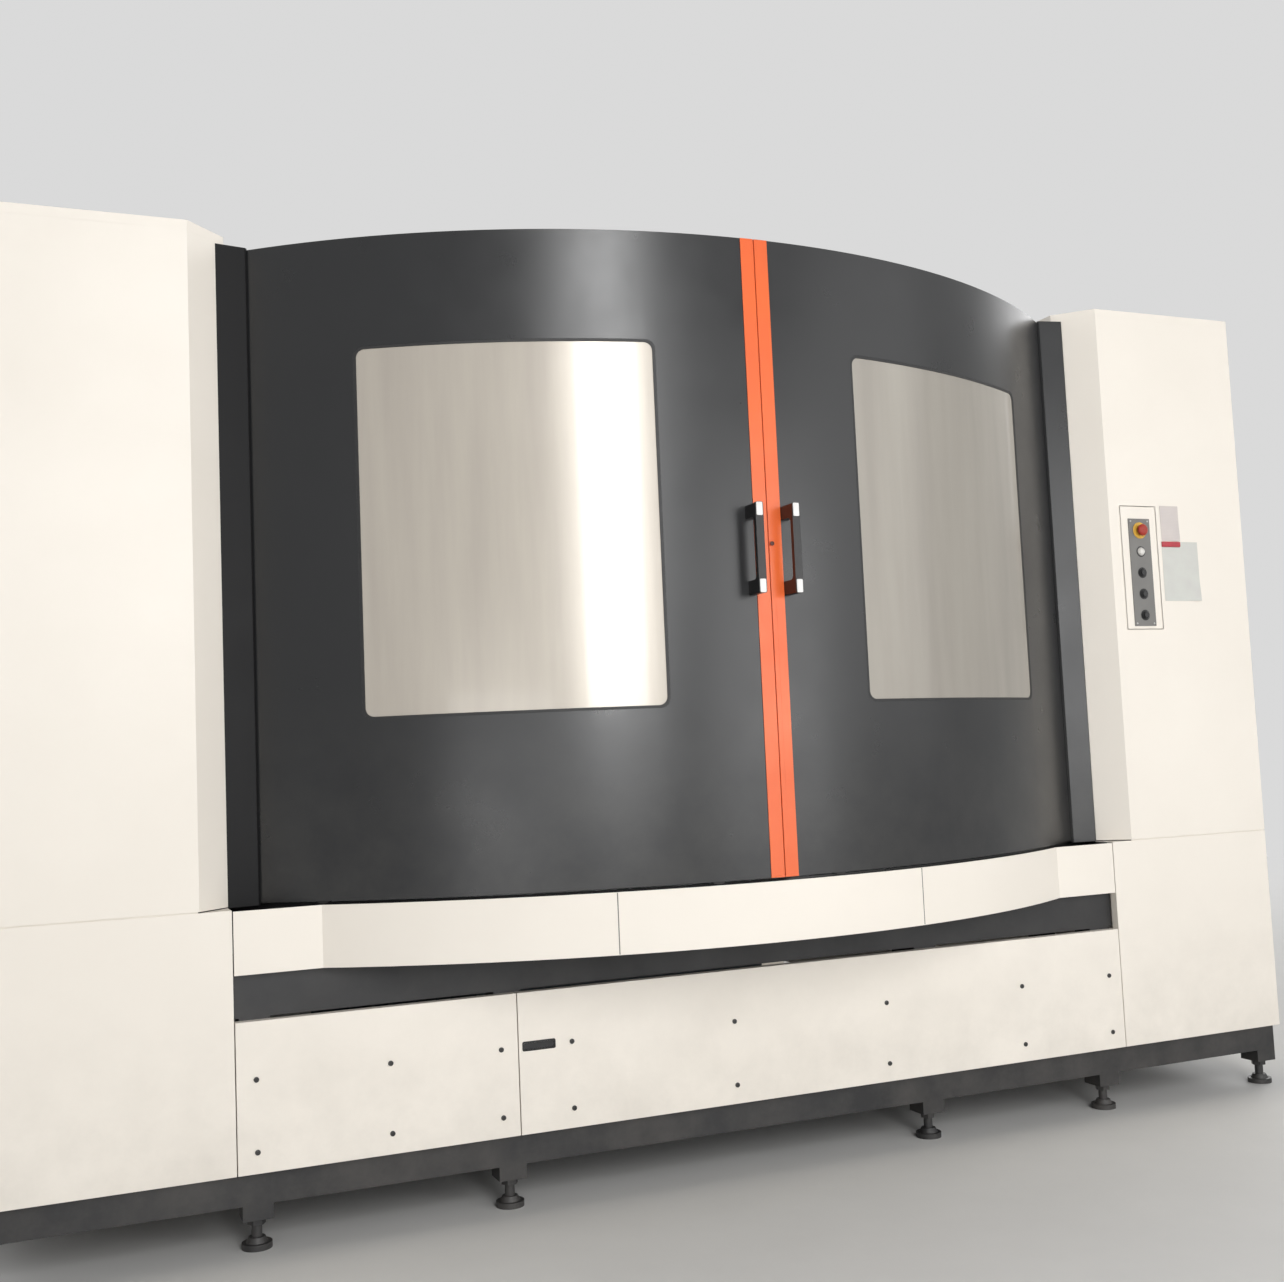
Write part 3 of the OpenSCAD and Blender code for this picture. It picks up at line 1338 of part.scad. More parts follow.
module magazine_frame() {
    back = disc_front + disc_t;
    post_back = back + 195;
    carrier_back = back + 85;
    bearing = 15;
    w = 240;
    plate = 12;
    color("#8d9399") placed() {
        difference() {
            union() {
                // Post on a foot plate, with the disc's stub shaft and the arm's carrier beam
                block([disc_x - w / 2, back + bearing, 0], [disc_x + w / 2, post_back, spindle_z + w / 2]);
                block([disc_x - w, back + bearing, 0], [disc_x + w / 2 + 20, post_back + 200, 30]);
                block([disc_x, back + bearing, spindle_z - 50], [arm_x, carrier_back, spindle_z + 50]);
                // Tie to the bed's side, under the conveyor
                block([disc_x + w / 2 - 1, back + 75, bed_z + 10], [-cross_w / 2, back + 175, bed_z + 40]);
                translate([disc_x, back + bearing + 1, spindle_z]) rotate([90, 0, 0])
                    cylinder(h = bearing + 1 - seat_gap, r = 90);
                translate([disc_x, back + bearing + 1, spindle_z]) rotate([90, 0, 0])
                    cylinder(h = disc_t + 24, r = shaft_r);
                translate([disc_x, disc_front - seat_gap, spindle_z]) rotate([90, 0, 0])
                    cylinder(h = 12, r = shaft_r + 20);
                // Gearbox of the exchange arm
                translate([arm_x, carrier_back, spindle_z]) rotate([90, 0, 0])
                    cylinder(h = carrier_back - pot_front, r = 72);
            }
            translate([arm_x, shaft_back + 5, spindle_z]) rotate([90, 0, 0])
                cylinder(h = 400, r = shaft_r + run_gap);
            block([disc_x - w / 2 + plate, back + bearing + plate, 30],
                  [disc_x + w / 2 - plate, post_back - plate, spindle_z + w / 2 + 1]);
        }
    }
}

arm_t = 30;
arm_back = nose_d - 2;
shaft_back = disc_front + disc_t + 55;
peg_r = 18;

module arm_shaft() {
    color("#c3c6c9") placed() translate([arm_x, shaft_back, spindle_z]) rotate([90, 0, 0]) {
        cylinder(h = shaft_back - arm_back, r = shaft_r);
        cylinder(h = shaft_back - arm_back + arm_t + 4, r = peg_r);
        // Washer that keeps the arm on its peg
        translate([0, 0, shaft_back - arm_back + arm_t + 2 * seat_gap]) cylinder(h = 6, r = peg_r + 10);
    }
}

module exchange_arm() {
    grip_r = 32;
    color("#3f4347") placed() translate([arm_x, arm_back - seat_gap, spindle_z]) rotate([90, 0, 0])
        linear_extrude(arm_t) difference() {
            union() {
                circle(60);
                translate([-35, -arm_reach + 20]) square([70, 2 * arm_reach - 40]);
                for (s = [-1, 1]) translate([0, s * arm_reach]) circle(grip_r + 16);
            }
            circle(peg_r + run_gap);
            // Open jaws that close on a tool's flange as the arm turns
            for (s = [-1, 1]) {
                translate([0, s * arm_reach]) circle(grip_r);
                translate([s > 0 ? -80 : 0, s * arm_reach - 18]) square([80, 60]);
            }
        }
}

/* Chips and coolant */

conveyor_inset = 300;
conveyor_x = -work_x + conveyor_inset;
conveyor_head_z = 1150;

module chip_conveyor() {
    from = 1500;
    bend = back_d - 420;
    low = 140;
    trough = 240;
    wall = 4;
    head_l = 330;
    head_h = 260;
    head_d = body_d - head_l;
    leg_in = 20;
    leg_t = 60;
    outline = [[from, low], [bend, low], [head_d + 90, conveyor_head_z - head_h],
               [body_d, conveyor_head_z - head_h], [body_d, conveyor_head_z], [head_d - 60, conveyor_head_z],
               [bend - 130, low + trough], [from, low + trough]];
    color("#d8d6cf") placed() {
        difference() {
            translate([conveyor_x - conveyor_w / 2, 0, 0]) rotate([90, 0, 90]) linear_extrude(conveyor_w)
                polygon(outline);
            translate([conveyor_x - conveyor_w / 2 + wall, 0, 0]) rotate([90, 0, 90])
                linear_extrude(conveyor_w - 2 * wall) polygon(inset(outline, wall));
            // Open top of the trough, and the mouth that drops the chips
            block([conveyor_x - conveyor_w / 2 + wall, from + wall, low + trough - 2 * wall],
                  [conveyor_x + conveyor_w / 2 - wall, bend - 200, low + trough + 1]);
            block([conveyor_x - conveyor_w / 2 + wall, body_d - 200, conveyor_head_z - head_h - 1],
                  [conveyor_x + conveyor_w / 2 - wall, body_d - wall, conveyor_head_z - head_h + 2 * wall]);
        }
        // Hinged belt with its cleats, along the trough's floor
        block([conveyor_x - conveyor_w / 2 + 1, from + 30, low + 40],
              [conveyor_x + conveyor_w / 2 - 1, bend - 40, low + 52]);
        for (i = [0:9])
            block([conveyor_x - conveyor_w / 2 + 20, from + 140 + 220 * i, low + 51],
                  [conveyor_x + conveyor_w / 2 - 20, from + 148 + 220 * i, low + 90]);
        // Legs, and the gearmotor on the head's side
        for (d = [from + 100, bend - 100])
            block([conveyor_x - conveyor_w / 2 + leg_in, d, 0],
                  [conveyor_x + conveyor_w / 2 - leg_in, d + leg_t, low + 1]);
        translate([conveyor_x + conveyor_w / 2 - 1, body_d - 130, conveyor_head_z - 125]) rotate([0, 90, 0])
            cylinder(h = 170, r = 70);
    }
}

module coolant_tank() {
    x0 = conveyor_x + conveyor_w / 2 + 60;
    x1 = work_x - 60;
    d0 = back_d + seat_gap;
    d1 = body_d - 20;
    foot = 60;
    wall = 4;
    color("#d8d6cf") placed() {
        difference() {
            block([x0, d0, foot], [x1, d1, tank_top]);
            block([x0 + wall, d0 + wall, foot + wall], [x1 - wall, d1 - wall, tank_top - wall]);
        }
        block([x0 - 12, d0, tank_top - 1], [x1 + 12, d1 + 12, tank_top + 10]);
        for (x = [x0 + 60, x1 - 60], d = [d0 + 60, d1 - 60])
            translate([x, d, 0]) cylinder(h = foot + 1, r = 28);
        // Pumps on the lid
        for (i = [0:2]) translate([x1 - 260 - 300 * i, (d0 + d1) / 2, tank_top + 9]) {
            cylinder(h = 20, r = 90);
            cylinder(h = 240, r = 62);
            translate([0, 0, 239]) cylinder(h = 30, r1 = 70, r2 = 58);
        }
    }
}

bed();
levelling_feet();
front_frame();
left_column_cover();
right_column_cover();
roof_panels();
door_frame();
front_apron();
skirt_panels();
station_lining();
bulkhead();
machine_covers();
electrical_cabinet();
changer_base();
feed_motors();
magazine_frame();
chip_conveyor();
coolant_tank();
button_plate();
button_bezels();
stop_collar();
station_lamp();
left_door_leaf();
left_window_seal();
left_window();
left_edge_trim();
left_handle();
left_inner_roller();
left_outer_roller();
right_door_leaf();
right_window_seal();
right_window();
right_edge_trim();
right_handle();
right_inner_roller();
right_outer_roller();
changer_column();
changer_fork();
changer_partition();
pallets();
table_saddle();
rotary_table();
machine_column();
spindle_head();
spindle();
x_screw();
y_screw();
z_screw();
magazine_disc();
arm_shaft();
exchange_arm();
cabinet_door();
side_door();
control_panel();
magazine_window();
stop_stem();
stop_head();
upper_button();
middle_button();
lower_button();
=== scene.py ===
import math
import bpy
from mathutils import Matrix, Vector

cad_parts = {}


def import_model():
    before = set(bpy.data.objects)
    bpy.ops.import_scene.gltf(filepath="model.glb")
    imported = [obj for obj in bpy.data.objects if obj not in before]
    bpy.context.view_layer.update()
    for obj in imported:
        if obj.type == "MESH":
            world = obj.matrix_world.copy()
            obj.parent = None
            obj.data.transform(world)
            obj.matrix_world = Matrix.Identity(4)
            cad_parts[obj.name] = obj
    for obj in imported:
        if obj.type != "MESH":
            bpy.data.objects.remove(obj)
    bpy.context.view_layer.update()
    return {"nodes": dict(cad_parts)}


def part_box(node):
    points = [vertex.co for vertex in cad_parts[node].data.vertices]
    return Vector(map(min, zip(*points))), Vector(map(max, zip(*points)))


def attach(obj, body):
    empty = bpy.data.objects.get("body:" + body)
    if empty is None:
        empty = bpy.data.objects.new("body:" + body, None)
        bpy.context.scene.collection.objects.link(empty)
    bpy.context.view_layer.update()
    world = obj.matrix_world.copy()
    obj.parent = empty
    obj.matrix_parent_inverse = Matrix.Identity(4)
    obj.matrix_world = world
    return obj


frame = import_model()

nodes = frame["nodes"]
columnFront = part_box("skirt_panels")[0][1]  # front plane of the two columns
doorAxisDepth = 1.85  # from that plane back to the upright axis of the curved doors
doorRadius = 2.216  # from that axis to the skin of the doors
doorAxis = Vector((0.0, doorAxisDepth + columnFront, 0.0))
print("frame loaded:", len(nodes), "CAD nodes")


# Camera where the photograph was taken from

cameraSetup = {
    "place": (-1.9088, -6.1227, 1.2485),
    "yaw": 22.5793,
    "pitch": 4.6197,
    "roll": -2.4858,
    "focalPixels": 1444.68,
    "imageWidth": 1284,
    "sensorWidth": 36,
    "sight": 200,
}


def addCamera(s):
    yaw, pitch, roll = (math.radians(s[k]) for k in ("yaw", "pitch", "roll"))
    ahead = Vector((math.sin(yaw) * math.cos(pitch), math.cos(yaw) * math.cos(pitch), math.sin(pitch)))
    level = Vector((math.cos(yaw), -math.sin(yaw), 0))
    upright = level.cross(ahead)
    right = level * math.cos(roll) + upright * math.sin(roll)
    up = upright * math.cos(roll) - level * math.sin(roll)
    bpy.ops.object.camera_add()
    camera = bpy.context.object
    camera.name = "photoCamera"
    camera.data.sensor_width = s["sensorWidth"]
    camera.data.lens = s["focalPixels"] * s["sensorWidth"] / s["imageWidth"]
    camera.data.clip_end = s["sight"]
    turn = Matrix((right, up, -ahead)).transposed().to_4x4()
    camera.matrix_world = Matrix.Translation(s["place"]) @ turn
    bpy.context.scene.camera = camera


addCamera(cameraSetup)
print("camera set")


# Finishes

def newFinish(name):
    mat = bpy.data.materials.new(name)
    mat.use_nodes = True
    tree = mat.node_tree
    return mat, tree, tree.nodes["Principled BSDF"]


def addNode(tree, kind, **values):
    node = tree.nodes.new("ShaderNode" + kind)
    for key, value in values.items():
        if hasattr(node, key):
            setattr(node, key, value)
        else:
            node.inputs[key.replace("_", " ")].default_value = value
    return node


# Give each named input of a node a plain value, or link it to what another node puts out
def feed(tree, node, **values):
    for key, value in values.items():
        socket = node.inputs[key.replace("_", " ")]
        if isinstance(value, bpy.types.NodeSocket):
            tree.links.new(value, socket)
        else:
            socket.default_value = value


def combine(tree, operation, a, b):
    node = addNode(tree, "Math", operation=operation)
    tree.links.new(a, node.inputs[0])
    tree.links.new(b, node.inputs[1])
    return node.outputs["Value"]


def objectCoords(tree, stretch=(1, 1, 1)):
    coords = addNode(tree, "TexCoord")
    mapping = addNode(tree, "Mapping", Scale=stretch)
    feed(tree, mapping, Vector=coords.outputs["Object"])
    return mapping.outputs["Vector"]


def addNoise(tree, vector, scale, detail=3.0, roughness=0.5):
    noise = addNode(tree, "TexNoise", Scale=scale, Detail=detail, Roughness=roughness)
    feed(tree, noise, Vector=vector)
    return noise.outputs["Fac"]


def spread(tree, value, low, high, fromLow=0.3, fromHigh=0.7):
    step = addNode(tree, "MapRange", From_Min=fromLow, From_Max=fromHigh, To_Min=low, To_Max=high)
    feed(tree, step, Value=value)
    return step.outputs["Result"]


def mixColours(tree, factor, a, b):
    mix = addNode(tree, "Mix", data_type="RGBA")
    colourIns = [i for i in mix.inputs if i.type == "RGBA"]
    for socket, value in zip(colourIns, (a, b)):
        if isinstance(value, tuple):
            socket.default_value = (*value, 1)
        else:
            tree.links.new(value, socket)
    tree.links.new(factor, mix.inputs[0])
    return [o for o in mix.outputs if o.type == "RGBA"][0]


# Relief in the surface, and edges that catch the light as rounded ones do
def addBump(tree, shader, height, strength, distance, edge=0.0012):
    bump = addNode(tree, "Bump", Strength=strength, Distance=distance)
    feed(tree, bump, Height=height)
    if edge:
        softEdge = addNode(tree, "Bevel", samples=2, Radius=edge)
        feed(tree, bump, Normal=softEdge.outputs["Normal"])
    feed(tree, shader, Normal=bump.outputs["Normal"])


# Sprayed enamel: fine orange peel, faint clouds in the colour, uneven gloss and dust low down
def enamel(name, s):
    mat, tree, shader = newFinish(name)
    vector = objectCoords(tree)
    clouds = spread(tree, addNoise(tree, vector, s.get("cloudScale", 1.6), detail=4), 0, 1)
    colour = mixColours(tree, clouds, s["colour"], s["shade"])
    if "dust" in s:
        split = addNode(tree, "SeparateXYZ")
        feed(tree, split, Vector=vector)
        low = spread(tree, split.outputs["Z"], 1, 0, *s["dustHeights"])
        patches = spread(tree, addNoise(tree, vector, scale=6, detail=6, roughness=0.65), 0, s["dustAmount"],
                         fromLow=0.35, fromHigh=0.75)
        colour = mixColours(tree, combine(tree, "MULTIPLY", low, patches), colour, s["dust"])
    smears = addNoise(tree, vector, scale=5, detail=5, roughness=0.6)
    rough, uneven = s["rough"], s.get("uneven", 0.05)
    gloss = spread(tree, smears, rough - uneven, rough + uneven)
    feed(tree, shader, Base_Color=colour, Roughness=gloss, Coat_Weight=s.get("coat", 0.0), Coat_Roughness=0.2,
         Specular_IOR_Level=s.get("specular", 0.5))
    addBump(tree, shader, addNoise(tree, vector, scale=260, detail=2), strength=0.05, distance=0.001)
    return mat


# Metal drawn, ground or turned: fine lines along one axis in gloss and height
def brushedMetal(name, colour, shade, dark, stretch, grainScale, grainTone, rough, metallic=1.0):
    mat, tree, shader = newFinish(name)
    grain = addNoise(tree, objectCoords(tree, stretch), grainScale, detail=4, roughness=0.6)
    clouds = spread(tree, addNoise(tree, objectCoords(tree), scale=4, detail=4), 0, 1)
    tone = mixColours(tree, clouds, colour, shade)
    feed(tree, shader, Base_Color=mixColours(tree, spread(tree, grain, 0, grainTone), tone, dark),
         Roughness=spread(tree, grain, rough - 0.08, rough + 0.1), Metallic=metallic)
    addBump(tree, shader, grain, strength=0.1, distance=0.0005)
    return mat


# Moulded plastic or rubber: fine grain and soft gloss
def moulded(name, colour, shade, rough, relief=0.15, shine=0.4):
    mat, tree, shader = newFinish(name)
    vector = objectCoords(tree)
    clouds = spread(tree, addNoise(tree, vector, scale=30, detail=4), 0, 1)
    grain = addNoise(tree, vector, scale=900)
    feed(tree, shader, Base_Color=mixColours(tree, clouds, colour, shade),
         Roughness=spread(tree, grain, rough - 0.05, rough + 0.07), Specular_IOR_Level=shine)
    addBump(tree, shader, grain, relief, distance=0.0004)
    return mat


# Rough casting under grey machine paint
def casting(name, colour, shade, rough):
    mat, tree, shader = newFinish(name)
    vector = objectCoords(tree)
    pits = addNoise(tree, vector, scale=90, detail=6, roughness=0.7)
    stains = spread(tree, addNoise(tree, vector, scale=3.5, detail=6, roughness=0.7), 0, 1, fromLow=0.35)
    feed(tree, shader, Base_Color=mixColours(tree, stains, colour, shade),
         Roughness=spread(tree, pits, rough - 0.1, rough + 0.12))
    addBump(tree, shader, pits, strength=0.35, distance=0.0015)
    return mat


# Safety pane with a reflective film: pale, faintly streaked down its height
def filmPane(name, colour, shade, coat, rough=0.22):
    mat, tree, shader = newFinish(name)
    downwards = objectCoords(tree, (3.0, 3.0, 0.25))
    streaks = addNoise(tree, downwards, scale=3, detail=5, roughness=0.55)
    smudges = addNoise(tree, objectCoords(tree), scale=4)
    feed(tree, shader, Base_Color=mixColours(tree, spread(tree, streaks, 0, 1), colour, shade),
         Roughness=spread(tree, smudges, rough, rough + 0.03), Metallic=0.15, Specular_IOR_Level=0.35,
         Coat_Weight=coat, Coat_Roughness=0.05)
    addBump(tree, shader, streaks, strength=0.02, distance=0.002, edge=None)
    return mat


# Printed form: matt paper with faint ruled lines
def sheetPaper(name, s):
    mat, tree, shader = newFinish(name)
    vector = objectCoords(tree)
    clouds = spread(tree, addNoise(tree, vector, scale=14, detail=4), 0, 1)
    plain = mixColours(tree, clouds, s["colour"], s["shade"])
    rules = addNode(tree, "TexWave", bands_direction="Z", wave_profile="SIN", Scale=s["lines"])
    feed(tree, rules, Vector=vector)
    thin = spread(tree, rules.outputs["Fac"], 0, s["lineTone"], fromLow=0.8, fromHigh=1.0)
    feed(tree, shader, Base_Color=mixColours(tree, thin, plain, s["line"]), Roughness=0.75)
    addBump(tree, shader, addNoise(tree, vector, scale=700), strength=0.08, distance=0.0003, edge=None)
    return mat


mouldedLooks = {
    # colour, shade, roughness, relief, shine
    "sealRubber": ((0.02, 0.02, 0.021), (0.028, 0.028, 0.028), 0.5),
    # handle caps: partly their own pale colour, partly a painted highlight
    "capPaleAndHighlight": ((0.86, 0.85, 0.83), (0.8, 0.79, 0.77), 0.3, 0.05),
    "lipOrange": ((0.6, 0.075, 0.016), (0.5, 0.06, 0.014), 0.5),
    "lockBrown": ((0.11, 0.022, 0.012), (0.07, 0.016, 0.01), 0.3),
    "seamGrey": ((0.2, 0.19, 0.18), (0.14, 0.135, 0.13), 0.7),
    "magnetRed": ((0.5, 0.045, 0.06), (0.4, 0.035, 0.05), 0.35),
    "keyGrey": ((0.16, 0.165, 0.17), (0.13, 0.135, 0.14), 0.45),
    "keyWhite": ((0.66, 0.65, 0.62), (0.58, 0.57, 0.54), 0.45),
    "keyGreen": ((0.03, 0.3, 0.09), (0.025, 0.24, 0.07), 0.4),
    "grilleGrey": ((0.42, 0.415, 0.4), (0.36, 0.355, 0.34), 0.55),
    "driveGrey": ((0.24, 0.25, 0.26), (0.2, 0.21, 0.22), 0.5),
    "screenGlass": ((0.008, 0.010, 0.012), (0.012, 0.014, 0.016), 0.12, 0.01, 0.5),
    "gripBlack": ((0.011, 0.011, 0.012), (0.018, 0.017, 0.017), 0.32, 0.08),
    "bezelBlack": ((0.02, 0.02, 0.021), (0.03, 0.03, 0.03), 0.35),
    "buttonBlack": ((0.014, 0.014, 0.015), (0.022, 0.022, 0.022), 0.28),
    "collarYellow": ((0.72, 0.43, 0.06), (0.66, 0.38, 0.05), 0.35),
    "stopRed": ((0.42, 0.035, 0.02), (0.33, 0.03, 0.018), 0.3),
    "lampWhite": ((0.72, 0.7, 0.66), (0.65, 0.63, 0.6), 0.25),
}
metalLooks = {
    # colour, shade, dark, stretch, grain's scale and tone, roughness, metallic
    "zincSteel": ((0.58, 0.58, 0.56), (0.5, 0.5, 0.49), (0.34, 0.33, 0.31), (6, 6, 6), 90, 0.3, 0.35),
    "blackenedSteel": ((0.07, 0.068, 0.066), (0.05, 0.049, 0.048), (0.03, 0.03, 0.03),
                       (6, 6, 6), 90, 0.3, 0.45, 0.6),
    "groundSteel": ((0.56, 0.565, 0.57), (0.48, 0.485, 0.49), (0.3, 0.3, 0.3), (1, 12, 12), 60, 0.35, 0.3),
    "liningSteel": ((0.5, 0.51, 0.52), (0.43, 0.44, 0.45), (0.3, 0.3, 0.31), (10, 10, 1), 40, 0.25, 0.38),
    "partitionAluminium": ((0.62, 0.63, 0.64), (0.55, 0.56, 0.57), (0.4, 0.4, 0.41),
                           (1, 14, 14), 50, 0.2, 0.42),
}
finish = {name: moulded(name, *look) for name, look in mouldedLooks.items()}
finish.update({name: brushedMetal(name, *look) for name, look in metalLooks.items()})
finish.update({
    "whiteEnamel": enamel("whiteEnamel", {
        "colour": (0.89, 0.835, 0.755), "shade": (0.85, 0.795, 0.715), "rough": 0.46,
        "dust": (0.62, 0.58, 0.52), "dustAmount": 0.45, "dustHeights": (0.2, 0.75), "coat": 0.05,
        "specular": 0.4}),
    "doorCharcoal": enamel("doorCharcoal", {
        "colour": (0.007, 0.0075, 0.0085), "shade": (0.0095, 0.010, 0.011), "rough": 0.3,
        "uneven": 0.035, "dust": (0.10, 0.095, 0.085), "dustAmount": 0.22, "dustHeights": (0.9, 1.5),
        "specular": 0.58}),
    # Left jamb: the door's black paint darker and less glossy, as painted shade
    "leftJambPaintedShade": enamel("leftJambPaintedShade", {
        "colour": (0.006, 0.006, 0.0065), "shade": (0.009, 0.009, 0.0095), "rough": 0.45, "specular": 0.16}),
    "trimOrange": enamel("trimOrange", {
        "colour": (0.85, 0.148, 0.03), "shade": (0.79, 0.126, 0.025), "rough": 0.35, "uneven": 0.06,
        "cloudScale": 5, "coat": 0.1}),
    "windowFilm": filmPane("windowFilm", (0.53, 0.485, 0.42), (0.44, 0.40, 0.35), coat=0.3),
    # Right pane: the same film as the left one, darker, as painted shade
    "rightPanePaintedShade": filmPane("rightPanePaintedShade", (0.37, 0.345, 0.30), (0.31, 0.285, 0.25), coat=0.25),
    "formPaper": sheetPaper("formPaper", {"colour": (0.66, 0.67, 0.62), "shade": (0.62, 0.61, 0.58),
                                          "line": (0.47, 0.48, 0.46), "lines": 105, "lineTone": 0.55}),
    "cardPaper": sheetPaper("cardPaper", {"colour": (0.66, 0.60, 0.57), "shade": (0.61, 0.56, 0.54),
                                          "line": (0.55, 0.50, 0.48), "lines": 60, "lineTone": 0.4}),
    # Black frame paint; on the front frame's face plate under the apron it is also painted shade
    "frameBlackAndShade": enamel("frameBlackAndShade", {
        "colour": (0.012, 0.012, 0.013), "shade": (0.02, 0.02, 0.021), "rough": 0.5, "uneven": 0.08,
        "dust": (0.12, 0.11, 0.1), "dustAmount": 0.5, "dustHeights": (0.0, 0.9)}),
    "stripGrey": enamel("stripGrey", {
        "colour": (0.19, 0.185, 0.175), "shade": (0.165, 0.16, 0.152), "rough": 0.42, "cloudScale": 12}),
    "castingGrey": casting("castingGrey", (0.145, 0.165, 0.18), (0.11, 0.125, 0.135), rough=0.5),
    "machineGrey": casting("machineGrey", (0.55, 0.56, 0.55), (0.46, 0.47, 0.46), rough=0.45),
    "forkYellow": enamel("forkYellow", {
        "colour": (0.68, 0.36, 0.02), "shade": (0.58, 0.3, 0.02), "rough": 0.42, "uneven": 0.08,
        "cloudScale": 6}),
    "tankGrey": enamel("tankGrey", {
        "colour": (0.62, 0.6, 0.56), "shade": (0.55, 0.53, 0.5), "rough": 0.42, "uneven": 0.06,
        "dust": (0.32, 0.29, 0.25), "dustAmount": 0.6, "dustHeights": (0.05, 0.6)}),
})

finishOfNode = {
    "whiteEnamel": ("left_column_cover", "right_column_cover", "roof_panels", "front_apron", "skirt_panels",
                    "machine_covers", "electrical_cabinet", "cabinet_door"),
    "doorCharcoal": ("left_door_leaf", "right_door_leaf", "door_frame", "side_door", "control_panel"),
    "trimOrange": ("left_edge_trim", "right_edge_trim"),
    "windowFilm": ("left_window", "magazine_window"),
    "rightPanePaintedShade": ("right_window",),
    "sealRubber": ("left_window_seal", "right_window_seal"),
    "frameBlackAndShade": ("front_frame", "levelling_feet", "feed_motors"),
    "gripBlack": ("left_handle", "right_handle"),
    "stripGrey": ("button_plate",),
    "bezelBlack": ("button_bezels",),
    "buttonBlack": ("upper_button", "middle_button", "lower_button"),
    "collarYellow": ("stop_collar",),
    "stopRed": ("stop_head",),
    "lampWhite": ("station_lamp",),
    "castingGrey": ("bed", "changer_base", "magazine_frame", "table_saddle", "magazine_disc", "exchange_arm"),
    "machineGrey": ("machine_column", "spindle_head"),
    "forkYellow": ("changer_fork",),
    "tankGrey": ("chip_conveyor", "coolant_tank"),
    "groundSteel": ("changer_column", "pallets", "rotary_table", "spindle", "x_screw", "y_screw", "z_screw",
                    "arm_shaft", "stop_stem"),
    "blackenedSteel": ("left_inner_roller", "left_outer_roller", "right_inner_roller", "right_outer_roller"),
    "liningSteel": ("station_lining",),
    "partitionAluminium": ("bulkhead", "changer_partition"),
}
for finishName, nodeNames in finishOfNode.items():
    for nodeName in nodeNames:
        mesh = nodes[nodeName].data
        mesh.materials.clear()
        mesh.materials.append(finish[finishName])


# Faces of one node that are painted otherwise, found by where they lie
def paintFaces(nodeName, finishName, low, high):
    mesh = nodes[nodeName].data
    mesh.materials.append(finish[finishName])
    place = nodes[nodeName].matrix_world
    for face in mesh.polygons:
        c = place @ face.center
        if all(low[i] < c[i] < high[i] for i in range(3)):
            face.material_index = len(mesh.materials) - 1


# The frame's left jamb in a darker, duller copy of the door paint as painted shade, then the back plate in
# the cabinet and the units on it
gearFront, gearBack, gearLow, gearTop = 3.58 + columnFront, 4.44 + columnFront, 0.20, 2.36
plateBack, plateFace, unitsFace = 1.510, 1.5345, 1.780
paintFaces("door_frame", "leftJambPaintedShade", (-2.0, -4.0, 0.0), (0.0, 4.0, 3.0))
paintFaces("electrical_cabinet", "zincSteel", (plateBack, gearFront, gearLow), (plateFace, gearBack, gearTop))
paintFaces("electrical_cabinet", "driveGrey", (plateFace, gearFront, gearLow), (unitsFace, gearBack, gearTop))
bare = set(nodes) - {n for names in finishOfNode.values() for n in names}
print("finishes on CAD nodes, left bare:", sorted(bare))


# Modelling helpers

sideways, inward, upward = range(3)  # axes x, y and z
leftwards, rightwards, frontwards, backwards = (-1, 0, 0), (1, 0, 0), (0, -1, 0), (0, 1, 0)


def dropSelection():
    if bpy.context.object and bpy.context.object.mode != "OBJECT":
        bpy.ops.object.mode_set(mode="OBJECT")
    bpy.ops.object.select_all(action="DESELECT")


def makeActive(ob):
    dropSelection()
    ob.select_set(True)
    bpy.context.view_layer.objects.active = ob


def bakePlace(ob):
    makeActive(ob)
    bpy.ops.object.transform_apply(location=True, rotation=True, scale=True)


def nameNew(name):
    ob = bpy.context.object
    ob.name = ob.data.name = name
    bakePlace(ob)
    return ob


def startBlock(name, low, high):
    dropSelection()
    low, high = Vector(low), Vector(high)
    bpy.ops.mesh.primitive_cube_add(size=1, location=(low + high) / 2, scale=high - low)
    return nameNew(name)


def startRound(name, radius, low, high, sides=32):
    dropSelection()
    bpy.ops.mesh.primitive_cylinder_add(vertices=sides, radius=radius, depth=high - low,
                                        location=(0, 0, (low + high) / 2))
    return nameNew(name)


def clearPicks(ob, kind):
    makeActive(ob)
    bpy.ops.object.mode_set(mode="EDIT")
    bpy.ops.mesh.select_mode(type=kind)
    bpy.ops.mesh.select_all(action="DESELECT")
    bpy.ops.object.mode_set(mode="OBJECT")


def pickFaces(ob, test):
    clearPicks(ob, "FACE")
    for face in ob.data.polygons:
        face.select = bool(test(face.center, face.normal))
    bpy.ops.object.mode_set(mode="EDIT")


def pickEdges(ob, test):
    clearPicks(ob, "EDGE")
    for edge in ob.data.edges:
        a, b = (ob.data.vertices[i].co for i in edge.vertices)
        edge.select = bool(test(a, b))
    bpy.ops.object.mode_set(mode="EDIT")


# Test for faces: those that look along an axis, up it or down it
def towards(axis, sign=1):
    return lambda c, n: n[axis] * sign > 0.9


# Tests for edges: wholly past a level, wholly before it, or running along an axis
def past(axis, level):
    return lambda a, b: min(a[axis], b[axis]) > level


def before(axis, level):
    return lambda a, b: max(a[axis], b[axis]) < level


def along(axis, length):
    return lambda a, b: abs(a[axis] - b[axis]) > length


def insetPicked(border, each=False):
    bpy.ops.mesh.inset(thickness=border, use_individual=each, use_even_offset=True)


def pullPicked(shift):
    bpy.ops.mesh.extrude_region_move(TRANSFORM_OT_translate={"value": tuple(shift)})


